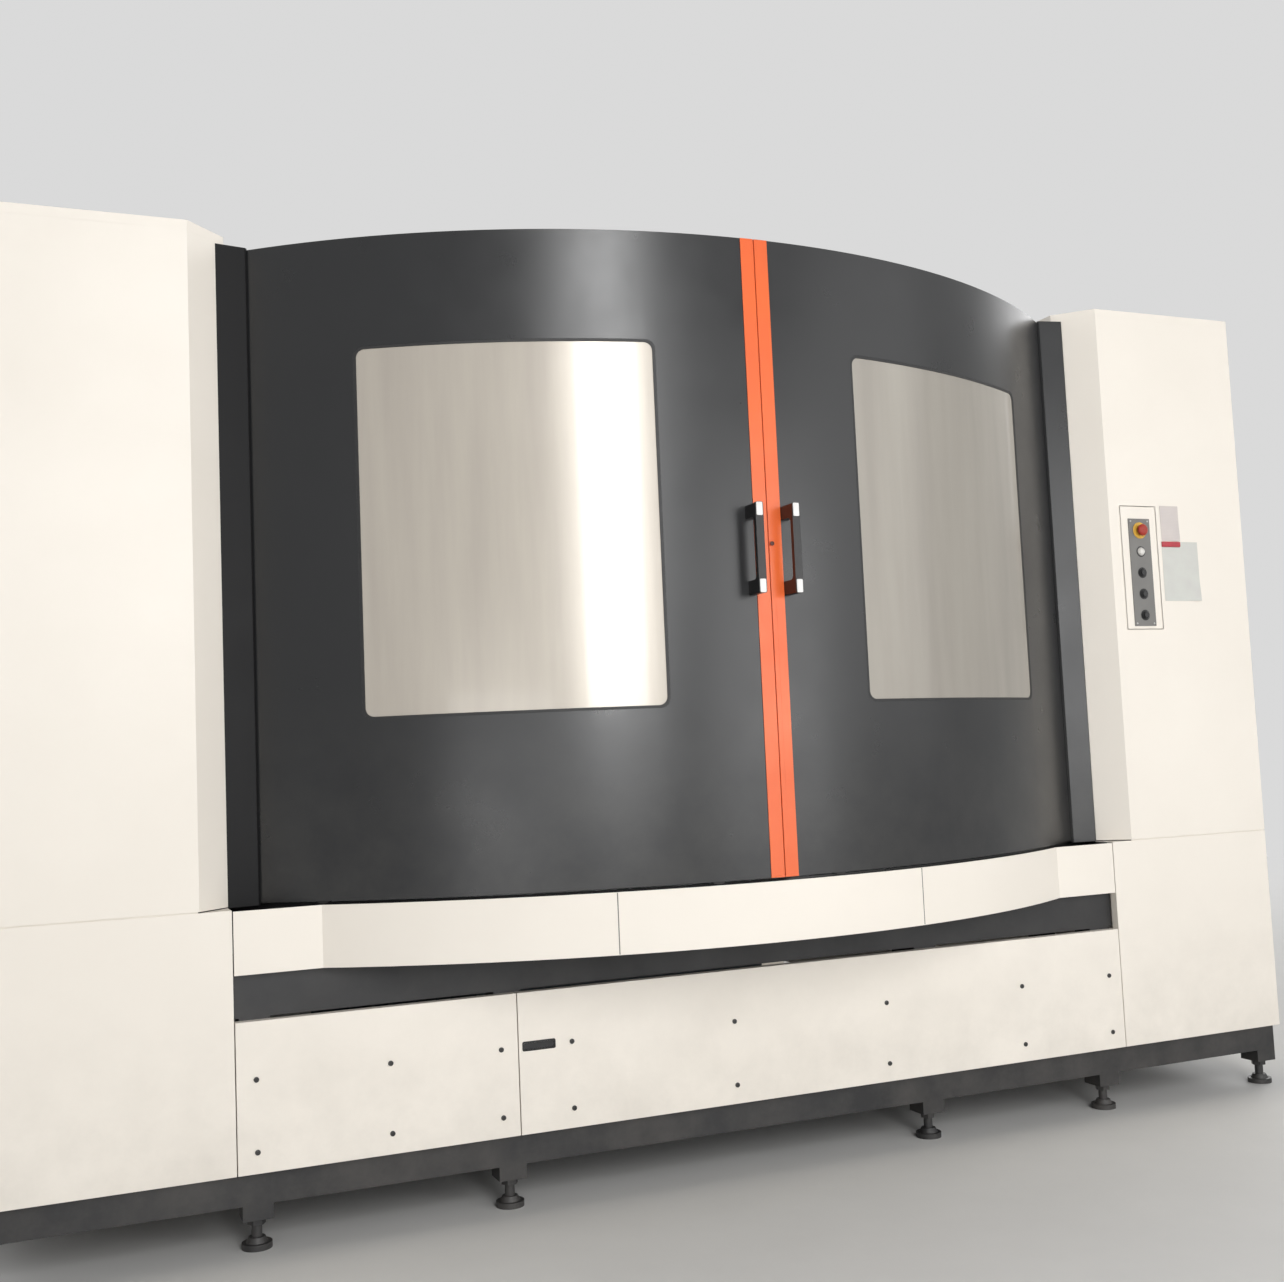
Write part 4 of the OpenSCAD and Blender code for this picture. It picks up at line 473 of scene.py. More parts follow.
# Press the faces that look one way in or out, inside a border
def pressFace(ob, axis, border, rise, sign=1):
    pickFaces(ob, towards(axis, sign))
    insetPicked(border)
    pullPicked([rise if i == axis else 0 for i in range(3)])


def softenEdges(ob, width, steps=2, test=None):
    pickEdges(ob, test or (lambda a, b: True))
    bpy.ops.mesh.bevel(offset=width, segments=steps, affect="EDGES")
    dropSelection()


def smoothOff(ob, angle=35):
    makeActive(ob)
    bpy.ops.object.shade_smooth_by_angle(angle=math.radians(angle))
    dropSelection()


def dress(ob, finishName, body="machine"):
    ob.data.materials.clear()
    ob.data.materials.append(finish[finishName])
    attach(ob, body)


def joinPieces(name, parts):
    dropSelection()
    for part in parts:
        part.select_set(True)
    bpy.context.view_layer.objects.active = parts[0]
    if len(parts) > 1:
        bpy.ops.object.join()
    group = bpy.context.object
    group.name = group.data.name = name
    return group


# Copies of a model set out at places, joined to one piece
def setOut(model, name, places):
    copies = []
    for place in places:
        makeActive(model)
        bpy.ops.object.duplicate(linked=False)
        twin = bpy.context.object
        twin.matrix_world = place if isinstance(place, Matrix) else Matrix.Translation(place)
        bakePlace(twin)
        copies.append(twin)
    return joinPieces(name, copies)


def putAway(model):
    bpy.data.objects.remove(model, do_unlink=True)


# Copies of a model set out as one finished piece, after which the model goes
def lay(model, name, places, finishName, body="machine"):
    dress(setOut(model, name, places), finishName, body)
    putAway(model)


def facing(direction, place, turn=0.0):
    spin = Matrix.Rotation(math.radians(turn), 4, "Z")
    return Matrix.Translation(place) @ Vector(direction).to_track_quat("Z", "Y").to_matrix().to_4x4() @ spin


def depth(d):
    return columnFront + d


# A place on the doors: angle to the right of the seam, reach from the skin, height
def doorSpot(angle, out, z):
    turn = Matrix.Rotation(math.radians(angle), 4, "Z")
    return Matrix.Translation(doorAxis) @ turn @ Matrix.Translation((0, -(doorRadius + out), z))


def pierce(ob, axis, border):
    pickFaces(ob, lambda c, n: abs(n[axis]) > 0.9)
    insetPicked(border, each=True)
    bpy.ops.mesh.bridge_edge_loops()
    dropSelection()


# A flat frame: a block pierced along its thin axis, with rounded corners
def frameRing(name, low, high, axis, border, corner):
    ob = startBlock(name, low, high)
    thin = high[axis] - low[axis]
    pierce(ob, axis, border)
    softenEdges(ob, corner, 5, lambda a, b: abs(abs((a - b)[axis]) - thin) < thin * 0.01
                and (a - b).length < thin * 1.01)
    return ob


# Models used again and again: cap screw, hexagon bolt, lifting eye

def modelScrew(radius, height):
    ob = startRound("screwModel", radius, 0, height, sides=20)
    pressFace(ob, upward, radius * 0.5, -height * 0.6)
    softenEdges(ob, height * 0.25, 2, lambda a, b: min(a.z, b.z) > height * 0.99
                and min(a.xy.length, b.xy.length) > radius * 0.95)
    smoothOff(ob)
    return ob


def modelBolt(radius, height):
    washer = startRound("washerModel", radius * 1.45, 0, height * 0.22, sides=24)
    softenEdges(washer, height * 0.06, 1, past(upward, height * 0.2))
    head = startRound("boltModel", radius, height * 0.2, height, sides=6)
    softenEdges(head, height * 0.12, 2, past(upward, height * 0.99))
    ob = joinPieces("boltModel", [head, washer])
    smoothOff(ob)
    return ob


def modelEye(radius, wire, neckFoot=0.006, neckTop=0.020, footHeight=0.008, loopFoot=0.016):
    dropSelection()
    bpy.ops.mesh.primitive_torus_add(major_radius=radius, minor_radius=wire, major_segments=28,
                                     minor_segments=10, location=(0, 0, radius + loopFoot),
                                     rotation=(math.radians(90), 0, 0))
    loop = nameNew("eyeModel")
    foot = startRound("eyeFoot", radius * 0.95, 0, footHeight, sides=28)
    softenEdges(foot, 0.002, 2, past(upward, footHeight - 0.0001))
    neck = startRound("eyeNeck", wire * 1.6, neckFoot, neckTop, sides=20)
    eye = joinPieces("eyeModel", [loop, foot, neck])
    smoothOff(eye)
    return eye


# Bright caps on the ends of the two door handles: pale satin, partly their own colour and partly a painted
# highlight

handleCaps = {
    "width": 0.019, "height": 0.038, "thickness": 0.0016, "corner": 0.0035,
    "angle": 1.45, "reach": 0.068, "middle": 1.820, "halfPitch": 0.1085,
}


def addHandleCaps(s):
    w, h, t = s["width"] / 2, s["height"] / 2, s["thickness"]
    cap = startBlock("capModel", (-w, -t, -h), (w, 0, h))
    softenEdges(cap, s["corner"], 4, lambda a, b: abs(a.x - b.x) + abs(a.z - b.z) < 1e-6)
    softenEdges(cap, t * 0.3, 2, before(inward, -t * 0.99))
    smoothOff(cap)
    for side, sign in (("left", -1), ("right", 1)):
        heights = [s["middle"] + up * s["halfPitch"] for up in (-1, 1)]
        spots = [doorSpot(sign * s["angle"], s["reach"], z) for z in heights]
        dress(setOut(cap, side + "HandleCaps", spots), "capPaleAndHighlight", side + "_door")
    putAway(cap)


addHandleCaps(handleCaps)

# Lip seal in the seam between the doors, on the left door's trim

lipSeal = {
    "left": -0.00155, "right": 0.0011, "front": 2.2145, "back": 2.175, "low": 0.902, "high": 2.728,
    "round": 0.0011, "endRound": 0.0004,
}


def addLipSeal(s):
    lip = startBlock("seamLip", doorAxis + Vector((s["left"], -s["front"], s["low"])),
                     doorAxis + Vector((s["right"], -s["back"], s["high"])))
    front = doorAxis.y - s["front"]
    softenEdges(lip, s["round"], 3, lambda a, b: max(a.y, b.y) < front + 1e-4 and abs(a.z - b.z) > 0.1)
    softenEdges(lip, s["endRound"], 1, along(sideways, 0.0008))
    smoothOff(lip)
    dress(lip, "lipOrange", "left_door")


addLipSeal(lipSeal)

# Lock cylinder in its boss on the right trim

doorLock = {
    "radius": 0.0062, "height": 0.0022, "round": 0.0003, "angle": 0.2456, "reach": 0.005, "z": 1.840,
    "rim": 0.22, "well": 0.35, "keyRim": 0.3, "keyRise": 0.3,  # shares of the radius and the height
}


def addDoorLock(s):
    plug = startRound("lockModel", s["radius"], 0, s["height"])
    pressFace(plug, upward, s["radius"] * s["rim"], -s["height"] * s["well"])
    insetPicked(s["radius"] * s["keyRim"])
    pullPicked((0, 0, s["height"] * s["keyRise"]))
    softenEdges(plug, s["round"], 2, past(upward, s["height"] * 0.99))
    smoothOff(plug)
    spot = doorSpot(s["angle"], s["reach"], s["z"]) @ Matrix.Rotation(math.radians(90), 4, "X")
    lay(plug, "doorLockPlug", [spot], "lockBrown", "right_door")


addDoorLock(doorLock)
print("door pieces made")


# Button strip: surround on the column, plate screws, legend rings

stripSet = {
    "surround": (1.5826, 1.7465, 1.6188, 2.0608), "surroundBorder": 0.0062, "surroundThickness": 0.0012,
    "surroundCorner": 0.006, "plate": (1.6185, 1.7115, 1.633, 2.013), "plateThickness": 0.003,
    "screw": 0.0032, "screwHeight": 0.0018, "screwInset": 0.009,
    "ringOut": 0.0188, "ringIn": 0.0155, "ringHeight": 0.0008,
    "middle": 1.665, "controls": (1.896, 1.821, 1.746, 1.671),
}


def addStripSet(s):
    x0, x1, z0, z1 = s["surround"]
    rim = frameRing("stripSurround", (x0, columnFront - s["surroundThickness"], z0), (x1, columnFront, z1),
                    inward, s["surroundBorder"], s["surroundCorner"])
    smoothOff(rim)
    dress(rim, "whiteEnamel")
    screw = modelScrew(s["screw"], s["screwHeight"])
    x0, x1, z0, z1 = s["plate"]
    front, edge = columnFront - s["plateThickness"], s["screwInset"]
    spots = [facing(frontwards, (x, front, z)) for x in (x0 + edge, x1 - edge)
             for z in (z0 + edge, z1 - edge)]
    lay(screw, "stripScrews", spots, "zincSteel")
    ring = startRound("legendModel", s["ringOut"], 0, s["ringHeight"], sides=40)
    pierce(ring, upward, s["ringOut"] - s["ringIn"])
    smoothOff(ring)
    spots = [facing(frontwards, (s["middle"], front, z)) for z in s["controls"]]
    lay(ring, "stripLegendRings", spots, "bezelBlack")


addStripSet(stripSet)

# Papers on the right column, held by a bar magnet

papers = {
    "sheet": (1.762, 1.924, 1.7215, 1.9335), "card": (1.764, 1.846, 1.936, 2.062),
    "thickness": 0.0004, "off": 0.0009, "corner": 0.014, "lift": 0.0045, "liftReach": 0.07,
    "cardLift": 0.6, "cardReach": 0.7,  # shares of the sheet's
    "magnet": (1.762, 1.843, 1.9145, 1.9335), "magnetFront": 0.0062, "magnetBack": 0.0012,
    "magnetCorner": 0.003, "magnetRound": 0.001,
}


def addPaper(s, name, box, lift, reach, finishName):
    x0, x1, z0, z1 = box
    dropSelection()
    bpy.ops.mesh.primitive_grid_add(x_subdivisions=14, y_subdivisions=18, size=1,
                                    location=((x0 + x1) / 2, columnFront - s["off"], (z0 + z1) / 2),
                                    rotation=(math.radians(90), 0, 0))
    bpy.context.object.scale = (x1 - x0, z1 - z0, 1)
    paper = nameNew(name)
    pickFaces(paper, lambda c, n: c.x > x1 - s["corner"] and c.z < z0 + s["corner"])
    bpy.ops.transform.translate(value=(-lift * 0.15, -lift, lift * 0.1), use_proportional_edit=True,
                                proportional_edit_falloff="SMOOTH", proportional_size=reach)
    makeActive(paper)
    thick = paper.modifiers.new("sheetThickness", "SOLIDIFY")
    thick.thickness = s["thickness"]
    thick.offset = 0
    bpy.ops.object.modifier_apply(modifier=thick.name)
    smoothOff(paper, 60)
    dress(paper, finishName)


def addPapers(s):
    lift, reach = s["lift"], s["liftReach"]
    addPaper(s, "shiftSheet", s["sheet"], lift, reach, "formPaper")
    addPaper(s, "shiftCard", s["card"], lift * s["cardLift"], reach * s["cardReach"], "cardPaper")
    x0, x1, z0, z1 = s["magnet"]
    front = columnFront - s["magnetFront"]
    bar = startBlock("paperMagnet", (x0, front, z0), (x1, columnFront - s["magnetBack"], z1))
    softenEdges(bar, s["magnetCorner"], 3, along(inward, 0.003))
    softenEdges(bar, s["magnetRound"], 2, before(inward, front + 0.0002))
    smoothOff(bar)
    dress(bar, "magnetRed")


addPapers(papers)

# Lower front: panel screws, finger cup, seam strips in the curved apron

lowerFront = {
    "screws": (-1.402, -1.045, -0.7315, -0.521, -0.003, 0.528, 1.045, 1.402), "screwHeights": (0.449, 0.262),
    "screw": 0.0072, "screwHeight": 0.0035,
    "cup": (-0.6655, -0.5745, 0.4405, 0.4595), "cupBorder": 0.004, "cupDepth": 0.016, "cupProud": 0.0014,
    "cupCorner": 0.005,
    "seamAngles": (-12.6, 12.6), "seamWidth": 0.0028, "seamHeights": (0.724, 0.8885), "seamRadius": 2.2163,
    "seamSink": 0.001, "seamRound": 0.0002,
}


def addLowerFront(s):
    screw = modelScrew(s["screw"], s["screwHeight"])
    spots = [facing(frontwards, (x, columnFront, z)) for x in s["screws"] for z in s["screwHeights"]]
    lay(screw, "skirtScrews", spots, "blackenedSteel")
    x0, x1, z0, z1 = s["cup"]
    rim = s["cupBorder"]
    cup = startBlock("fingerCup", (x0 - rim, columnFront - s["cupProud"], z0 - rim),
                     (x1 + rim, columnFront, z1 + rim))
    pressFace(cup, inward, rim, s["cupDepth"], sign=-1)
    softenEdges(cup, s["cupCorner"], 3, lambda a, b: (a - b).length < 0.004
                and abs(a.x - b.x) + abs(a.z - b.z) < 1e-6)
    smoothOff(cup)
    dress(cup, "bezelBlack")
    w = s["seamWidth"] / 2
    low, high = s["seamHeights"]
    strip = startBlock("seamModel", (-w, doorRadius - s["seamRadius"], low), (w, s["seamSink"], high))
    softenEdges(strip, s["seamRound"], 1, along(upward, 0.1))
    spots = [doorSpot(angle, 0, 0) for angle in s["seamAngles"]]
    lay(strip, "apronSeams", spots, "seamGrey")


addLowerFront(lowerFront)
print("front pieces made")


# Sides of the columns: two service panels on each, with four quarter-turn locks each

columnPanels = {
    "side": 2.140, "thickness": 0.0025, "depths": (0.18, 1.12), "heights": (0.33, 0.80),
    "upperHeights": (1.05, 2.45), "corner": 0.012, "round": 0.0007,
    "lock": 0.011, "lockHeight": 0.004, "lockRound": 0.0006, "lockIn": 0.05, "lockUp": 0.06,
    "lockRim": 0.3, "lockWell": 0.5,  # shares of the lock's radius and height
}


def addColumnPanels(s):
    radius, height = s["lock"], s["lockHeight"]
    lock = startRound("lockModel", radius, 0, height, sides=28)
    pressFace(lock, upward, radius * s["lockRim"], -height * s["lockWell"])
    softenEdges(lock, s["lockRound"], 2, lambda a, b: min(a.z, b.z) > height * 0.99
                and a.xy.length > radius * 0.9)
    smoothOff(lock)
    d0, d1 = (depth(d) for d in s["depths"])
    for side, sign in (("left", -1), ("right", 1)):
        parts, spots = [], []
        for z0, z1 in (s["heights"], s["upperHeights"]):
            a, b = sign * s["side"], sign * (s["side"] + s["thickness"])
            plate = startBlock("plateModel", (min(a, b), d0, z0), (max(a, b), d1, z1))
            softenEdges(plate, s["corner"], 4, along(sideways, s["thickness"] * 0.9))
            softenEdges(plate, s["round"], 2, lambda p, q: min(abs(p.x), abs(q.x)) > abs(b) - 1e-5)
            smoothOff(plate)
            parts.append(plate)
            spots += [facing((sign, 0, 0), (b, d, z)) for d in (d0 + s["lockIn"], d1 - s["lockIn"])
                      for z in (z0 + s["lockUp"], z1 - s["lockUp"])]
        dress(joinPieces(side + "ServicePanels", parts), "whiteEnamel")
        dress(setOut(lock, side + "PanelLocks", spots), "zincSteel")
    putAway(lock)


addColumnPanels(columnPanels)

# Tool magazine housing: louvres on the outer wall, bezel round the window

magazineSet = {
    "wall": -2.100, "middle": 3.700, "length": 0.50, "count": 10, "first": 0.50, "pitch": 0.045,
    "hood": 0.022, "proud": 0.012, "edge": 0.0012, "round": 0.0015,
    "taper": (0.12, 0.965, 1),  # how far the hood's top draws in
    "frontDepth": 2.800, "window": (-1.98, -1.62, 1.37, 1.93), "bezel": 0.024, "bezelThickness": 0.004,
    "bezelCorner": 0.028, "bezelRound": 0.001,
}


def addMagazineSet(s):
    half, out, rise = s["length"] / 2, s["proud"], s["hood"] / 2
    hood = startBlock("hoodModel", (-out, -half, -rise), (0, half, rise))
    pickFaces(hood, towards(upward))
    bpy.ops.transform.resize(value=s["taper"], center_override=(0, 0, 0))
    pressFace(hood, upward, s["edge"], rise, sign=-1)
    softenEdges(hood, s["round"], 3, lambda a, b: max(a.x, b.x) < -0.002 and min(a.z, b.z) > -rise + 1e-4)
    smoothOff(hood, 40)
    heights = [s["first"] + i * s["pitch"] for i in range(s["count"])]
    spots = [Vector((s["wall"], depth(s["middle"]), z)) for z in heights]
    lay(hood, "magazineLouvres", spots, "whiteEnamel")
    x0, x1, z0, z1 = s["window"]
    b, back = s["bezel"], depth(s["frontDepth"])
    front = back - s["bezelThickness"]
    bezel = frameRing("magazineBezel", (x0 - b, front, z0 - b), (x1 + b, back, z1 + b), inward, b,
                      s["bezelCorner"])
    softenEdges(bezel, s["bezelRound"], 2, before(inward, front + 1e-5))
    smoothOff(bezel)
    dress(bezel, "sealRubber")


addMagazineSet(magazineSet)
print("side and magazine pieces made")


# Control panel: screen, key caps, dials, stop button

panelSet = {
    "face": 1.740, "front": 1.384, "width": 0.42, "low": 1.120,
    "screenIn": 0.05, "screenLow": 0.39, "screenHigh": 0.66, "screenSink": 0.006, "screenThickness": 0.004,
    "screenClear": 0.001, "screenBorder": 0.014, "screenHollow": 0.0012, "screenRound": 0.0005,
    "rimOut": 0.012, "rimBorder": 0.0125, "rimThickness": 0.003, "rimCorner": 0.006, "rimRound": 0.0008,
    "rows": 5, "columns": 9, "keyLow": 0.110, "keyRow": 0.046, "keyHeight": 0.032, "keyProud": 0.006,
    "keyFirst": 0.046, "keyMargins": 0.1, "keyGap": 0.008, "keyPlay": 0.0015, "keyThickness": 0.003,
    "keyCorner": 0.003, "keyDish": 0.0006, "darkRows": 3, "paleColumns": 6,
    "dialSpots": (0.09, 0.33), "dialTurns": (35, -50), "dialZ": 0.055, "dialRadius": 0.020,
    "dialProud": 0.025, "grip": 0.0012, "gripStep": 20, "dialRim": 0.002,
    "pointerHalf": 0.0012, "pointerFrom": 0.004,
    "stopSpot": 0.21, "stopRadius": 0.017, "stopRing": 0.003, "stopRingRound": 0.0008,
    "stemFoot": 0.002, "stemTop": 0.014, "stopHead": 0.009, "stopRound": 0.0035,
}
panelCorner = (panelSet["face"], depth(panelSet["front"]), panelSet["low"])


def addPanelScreen(s, x, y0, z0):
    back, clear = x - s["screenSink"], s["screenClear"]
    front = back + s["screenThickness"]
    ya, yb = y0 + s["screenIn"], y0 + s["width"] - s["screenIn"]
    za, zb = z0 + s["screenLow"], z0 + s["screenHigh"]
    glass = startBlock("panelScreen", (back, ya + clear, za + clear), (front, yb - clear, zb - clear))
    pressFace(glass, sideways, s["screenBorder"], -s["screenHollow"])
    softenEdges(glass, s["screenRound"], 2, past(sideways, front - 0.0001))
    smoothOff(glass)
    dress(glass, "screenGlass", "control_panel")
    out = s["rimOut"]
    rim = frameRing("panelScreenRim", (x, ya - out, za - out), (x + s["rimThickness"], yb + out, zb + out),
                    sideways, s["rimBorder"], s["rimCorner"])
    softenEdges(rim, s["rimRound"], 2, past(sideways, x + s["rimThickness"] - 0.0001))
    smoothOff(rim)
    dress(rim, "bezelBlack", "control_panel")


def addPanelKeys(s, x, y0, z0):
    pitch = (s["width"] - s["keyMargins"]) / s["columns"]
    w, h = (pitch - s["keyGap"]) / 2 - s["keyPlay"], s["keyHeight"] / 2 - s["keyPlay"]
    cap = startBlock("keyModel", (0, -w, -h), (s["keyThickness"], w, h))
    softenEdges(cap, s["keyCorner"], 3, along(sideways, 0.002))
    pressFace(cap, sideways, s["keyPlay"], -s["keyDish"])
    softenEdges(cap, s["keyDish"], 2, past(sideways, s["keyThickness"] - 0.0001))
    smoothOff(cap)
    spots = {"keyGrey": [], "keyWhite": [], "keyGreen": [], "magnetRed": []}
    for row in range(s["rows"]):
        for i in range(s["columns"]):
            kind = "keyWhite" if row >= s["darkRows"] and i < s["paleColumns"] else "keyGrey"
            if row == 0 and i in (0, s["columns"] - 1):
                kind = "keyGreen" if i else "magnetRed"
            z = z0 + s["keyLow"] + s["keyHeight"] / 2 + row * s["keyRow"]
            y = y0 + s["keyFirst"] + (i + 0.5) * pitch
            spots[kind].append(Vector((x + s["keyProud"], y, z)))
    for kind, places in spots.items():
        name = "panelKeys" + kind[0].upper() + kind[1:]
        dress(setOut(cap, name, places), kind, "control_panel")
    putAway(cap)


def addPanelDials(s, x, y0, z0):
    step, radius, proud = s["gripStep"], s["dialRadius"], s["dialProud"]
    knob = startRound("dialModel", radius * 1.12, 0, proud * 0.62, sides=36)
    pickFaces(knob, lambda c, n: abs(n.z) < 0.1 and math.degrees(math.atan2(c.y, c.x)) % step < step / 2)
    bpy.ops.mesh.extrude_region_shrink_fatten(TRANSFORM_OT_shrink_fatten={"value": s["grip"]})
    pickFaces(knob, towards(upward))
    insetPicked(s["dialRim"])
    softenEdges(knob, 0.0004, 1, past(upward, proud * 0.61))
    smoothOff(knob)
    w, level = s["pointerHalf"], proud * 0.95
    pointer = startBlock("pointerModel", (-w, s["pointerFrom"], level + 0.0015),
                         (w, radius - s["dialRim"], level + 0.0025))
    softenEdges(pointer, 0.0004, 2)
    places = [facing(rightwards, (x, y0 + d, z0 + s["dialZ"]), turn)
              for d, turn in zip(s["dialSpots"], s["dialTurns"])]
    lay(knob, "panelDialSkirts", places, "gripBlack", "control_panel")
    lay(pointer, "panelDialPointers", places, "lampWhite", "control_panel")


def addPanelStop(s, x, y0, z0):
    ringHeight, stemTop = s["stopRing"], s["stemTop"]
    base = startRound("stopBase", s["stopRadius"] * 1.45, 0, ringHeight, sides=36)
    softenEdges(base, s["stopRingRound"], 2, past(upward, ringHeight - 0.0001))
    smoothOff(base)
    head = startRound("stopHead", s["stopRadius"] * 0.6, s["stemFoot"], stemTop, sides=36)
    pickFaces(head, towards(upward))
    bpy.ops.mesh.extrude_region_move()
    bpy.ops.transform.resize(value=(1.67, 1.67, 1), center_override=(0, 0, stemTop))
    pullPicked((0, 0, s["stopHead"]))
    softenEdges(head, s["stopRound"], 4, past(upward, stemTop + s["stopHead"] - 0.0001))
    smoothOff(head, 50)
    spot = [facing(rightwards, (x, y0 + s["stopSpot"], z0 + s["dialZ"]))]
    lay(base, "panelStopRing", spot, "collarYellow", "control_panel")
    lay(head, "panelStopHead", spot, "stopRed", "control_panel")


for addPart in (addPanelScreen, addPanelKeys, addPanelDials, addPanelStop):
    addPart(panelSet, *panelCorner)
print("control panel pieces made")


# Electrical cabinet: two filter grilles and a main switch on its door, lifting eyes on top

cabinetSet = {
    "face": 2.0783, "front": 3.560, "width": 0.90, "top": 2.400,
    "grille": 0.25, "grilleMiddle": 0.45, "grilleHeights": (0.42, 2.02), "grilleProud": 0.010,
    "grilleBorder": 0.022, "grilleCorner": 0.008, "grilleRound": 0.002,
    "slats": 9, "slatBack": 0.0005, "slatEnd": 0.020, "slatHalf": 0.36, "slatDrop": 0.22, "slatRound": 0.0008,
    "switchSpot": 0.22, "switchZ": 1.62, "plateHalf": 0.033, "plateThickness": 0.004, "plateCorner": 0.006,
    "knobRadius": 0.021, "knobHeight": 0.012, "knobRim": 0.004,
    "barLow": (-0.0055, -0.026, 0.010), "barHigh": (0.0055, 0.026, 0.030), "barRound": 0.003,
    "eyeSides": (1.5, 2.06), "eyeInset": 0.08, "eyeRadius": 0.022, "eyeWire": 0.006,
}


def addCabinetGrilles(s, x, y0):
    g, out, border = s["grille"] / 2, s["grilleProud"], s["grilleBorder"]
    ring = frameRing("grilleModel", (0, -g, -g), (out, g, g), sideways, border, s["grilleCorner"])
    softenEdges(ring, s["grilleRound"], 2, past(sideways, out - 1e-5))
    gap = (s["grille"] - 2 * border) / s["slats"]
    w, h = g - s["slatEnd"], gap * s["slatHalf"]
    slat = startBlock("slatModel", (s["slatBack"], -w, -h), (out * 0.8, w, h))
    pickFaces(slat, towards(sideways))
    bpy.ops.transform.translate(value=(0, 0, -gap * s["slatDrop"]))
    softenEdges(slat, s["slatRound"], 2, past(sideways, out * 0.79))
    slats = setOut(slat, "slats", [(0, 0, -g + border + (i + 0.5) * gap) for i in range(s["slats"])])
    putAway(slat)
    grille = joinPieces("grilleModel", [ring, slats])
    smoothOff(grille)
    spots = [Vector((x, y0 + s["grilleMiddle"], z)) for z in s["grilleHeights"]]
    lay(grille, "cabinetGrilles", spots, "grilleGrey", "cabinet_door")


def addMainSwitch(s, x, y0):
    y, z, half, face = y0 + s["switchSpot"], s["switchZ"], s["plateHalf"], x + s["plateThickness"]
    plate = startBlock("switchPlate", (x, y - half, z - half), (face, y + half, z + half))
    softenEdges(plate, s["plateCorner"], 3, along(sideways, 0.003))
    softenEdges(plate, 0.0008, 2, past(sideways, face - 0.0001))
    smoothOff(plate)
    dress(plate, "collarYellow", "cabinet_door")
    radius, height = s["knobRadius"], s["knobHeight"]
    knob = startRound("switchModel", radius, 0, height, sides=36)
    pressFace(knob, upward, s["knobRim"], s["knobRim"])
    bar = startBlock("switchBar", s["barLow"], s["barHigh"])
    softenEdges(bar, s["barRound"], 3)
    softenEdges(knob, 0.001, 2, lambda a, b: abs(min(a.z, b.z) - height) < 0.0001
                and a.xy.length > radius - 0.001)
    switch = joinPieces("switchModel", [knob, bar])
    smoothOff(switch)
    spot = [facing(rightwards, (face, y, z))]
    lay(switch, "mainSwitch", spot, "stopRed", "cabinet_door")


def addCabinetEyes(s, y0):
    eye, e = modelEye(s["eyeRadius"], s["eyeWire"]), s["eyeInset"]
    low, high = s["eyeSides"]
    spots = [Vector((x, y, s["top"])) for x in (low + e, high - e) for y in (y0 + e, y0 + s["width"] - e)]
    lay(eye, "cabinetEyes", spots, "zincSteel")


cabinetFront = depth(cabinetSet["front"])
addCabinetGrilles(cabinetSet, cabinetSet["face"], cabinetFront)
addMainSwitch(cabinetSet, cabinetSet["face"], cabinetFront)
addCabinetEyes(cabinetSet, cabinetFront)

# Operator door: gasket round its pane

operatorDoor = {
    "face": 1.532, "front": 1.700, "low": 0.9403, "width": 0.86, "height": 1.25,
    "paneWidth": 0.56, "paneHeight": 0.77, "paneMiddle": 0.56,
    "gasket": 0.018, "sink": 0.001, "proud": 0.003, "corner": 0.038, "round": 0.0012,
}


def addOperatorDoor(s):
    y = depth(s["front"]) + s["width"] / 2
    z = s["low"] + s["height"] * s["paneMiddle"]
    w, h = (s["paneWidth"] + s["gasket"]) / 2, (s["paneHeight"] + s["gasket"]) / 2
    face = s["face"] + s["proud"]
    gasket = frameRing("operatorDoorGasket", (s["face"] - s["sink"], y - w, z - h), (face, y + w, z + h),
                       sideways, s["gasket"], s["corner"])
    softenEdges(gasket, s["round"], 2, past(sideways, face - 1e-5))
    smoothOff(gasket)
    dress(gasket, "sealRubber", "side_door")


addOperatorDoor(operatorDoor)

# Side walls: seams between the left wall's sheets, screws on both walls and on the magazine's housing

wallSeams = {
    "left": -1.500, "depths": (1.80, 2.30), "low": 0.230, "high": 2.700,
    "strip": 0.0028, "proud": 0.0006, "sink": 0.001, "round": 0.0002,
    "screw": 0.0062, "screwHeight": 0.003, "beside": 0.03, "besideHeights": (0.32, 0.95, 1.58, 2.21, 2.64),
    "screwRows": (
        # wall, the way it faces, depths, heights
        (1.500, rightwards, (1.42, 1.60, 2.95, 3.35), (0.32, 0.80, 2.40, 2.64)),
        (-2.100, leftwards, (2.86, 3.45, 4.20), (0.32, 1.10, 1.88, 2.64)),
    ),
}


def addWallSeams(s):
    w = s["strip"] / 2
    seam = startBlock("seamModel", (-s["sink"], -w, s["low"]), (s["proud"], w, s["high"]))
    softenEdges(seam, s["round"], 1, along(upward, 0.1))
    turned = Matrix.Rotation(math.pi, 4, "Z")
    spots = [Matrix.Translation((s["left"], depth(d), 0)) @ turned for d in s["depths"]]
    lay(seam, "wallSeams", spots, "seamGrey")
    screw = modelScrew(s["screw"], s["screwHeight"])
    spots = [facing(leftwards, (s["left"], depth(d) + off, z)) for d in s["depths"]
             for off in (-s["beside"], s["beside"]) for z in s["besideHeights"]]
    for x, way, depths, heights in s["screwRows"]:
        spots += [facing(way, (x, depth(d), z)) for d in depths for z in heights]
    lay(screw, "wallScrews", spots, "blackenedSteel")


addWallSeams(wallSeams)
print("cabinet and wall pieces made")


# Roof: lifting eyes, seam strips and screws

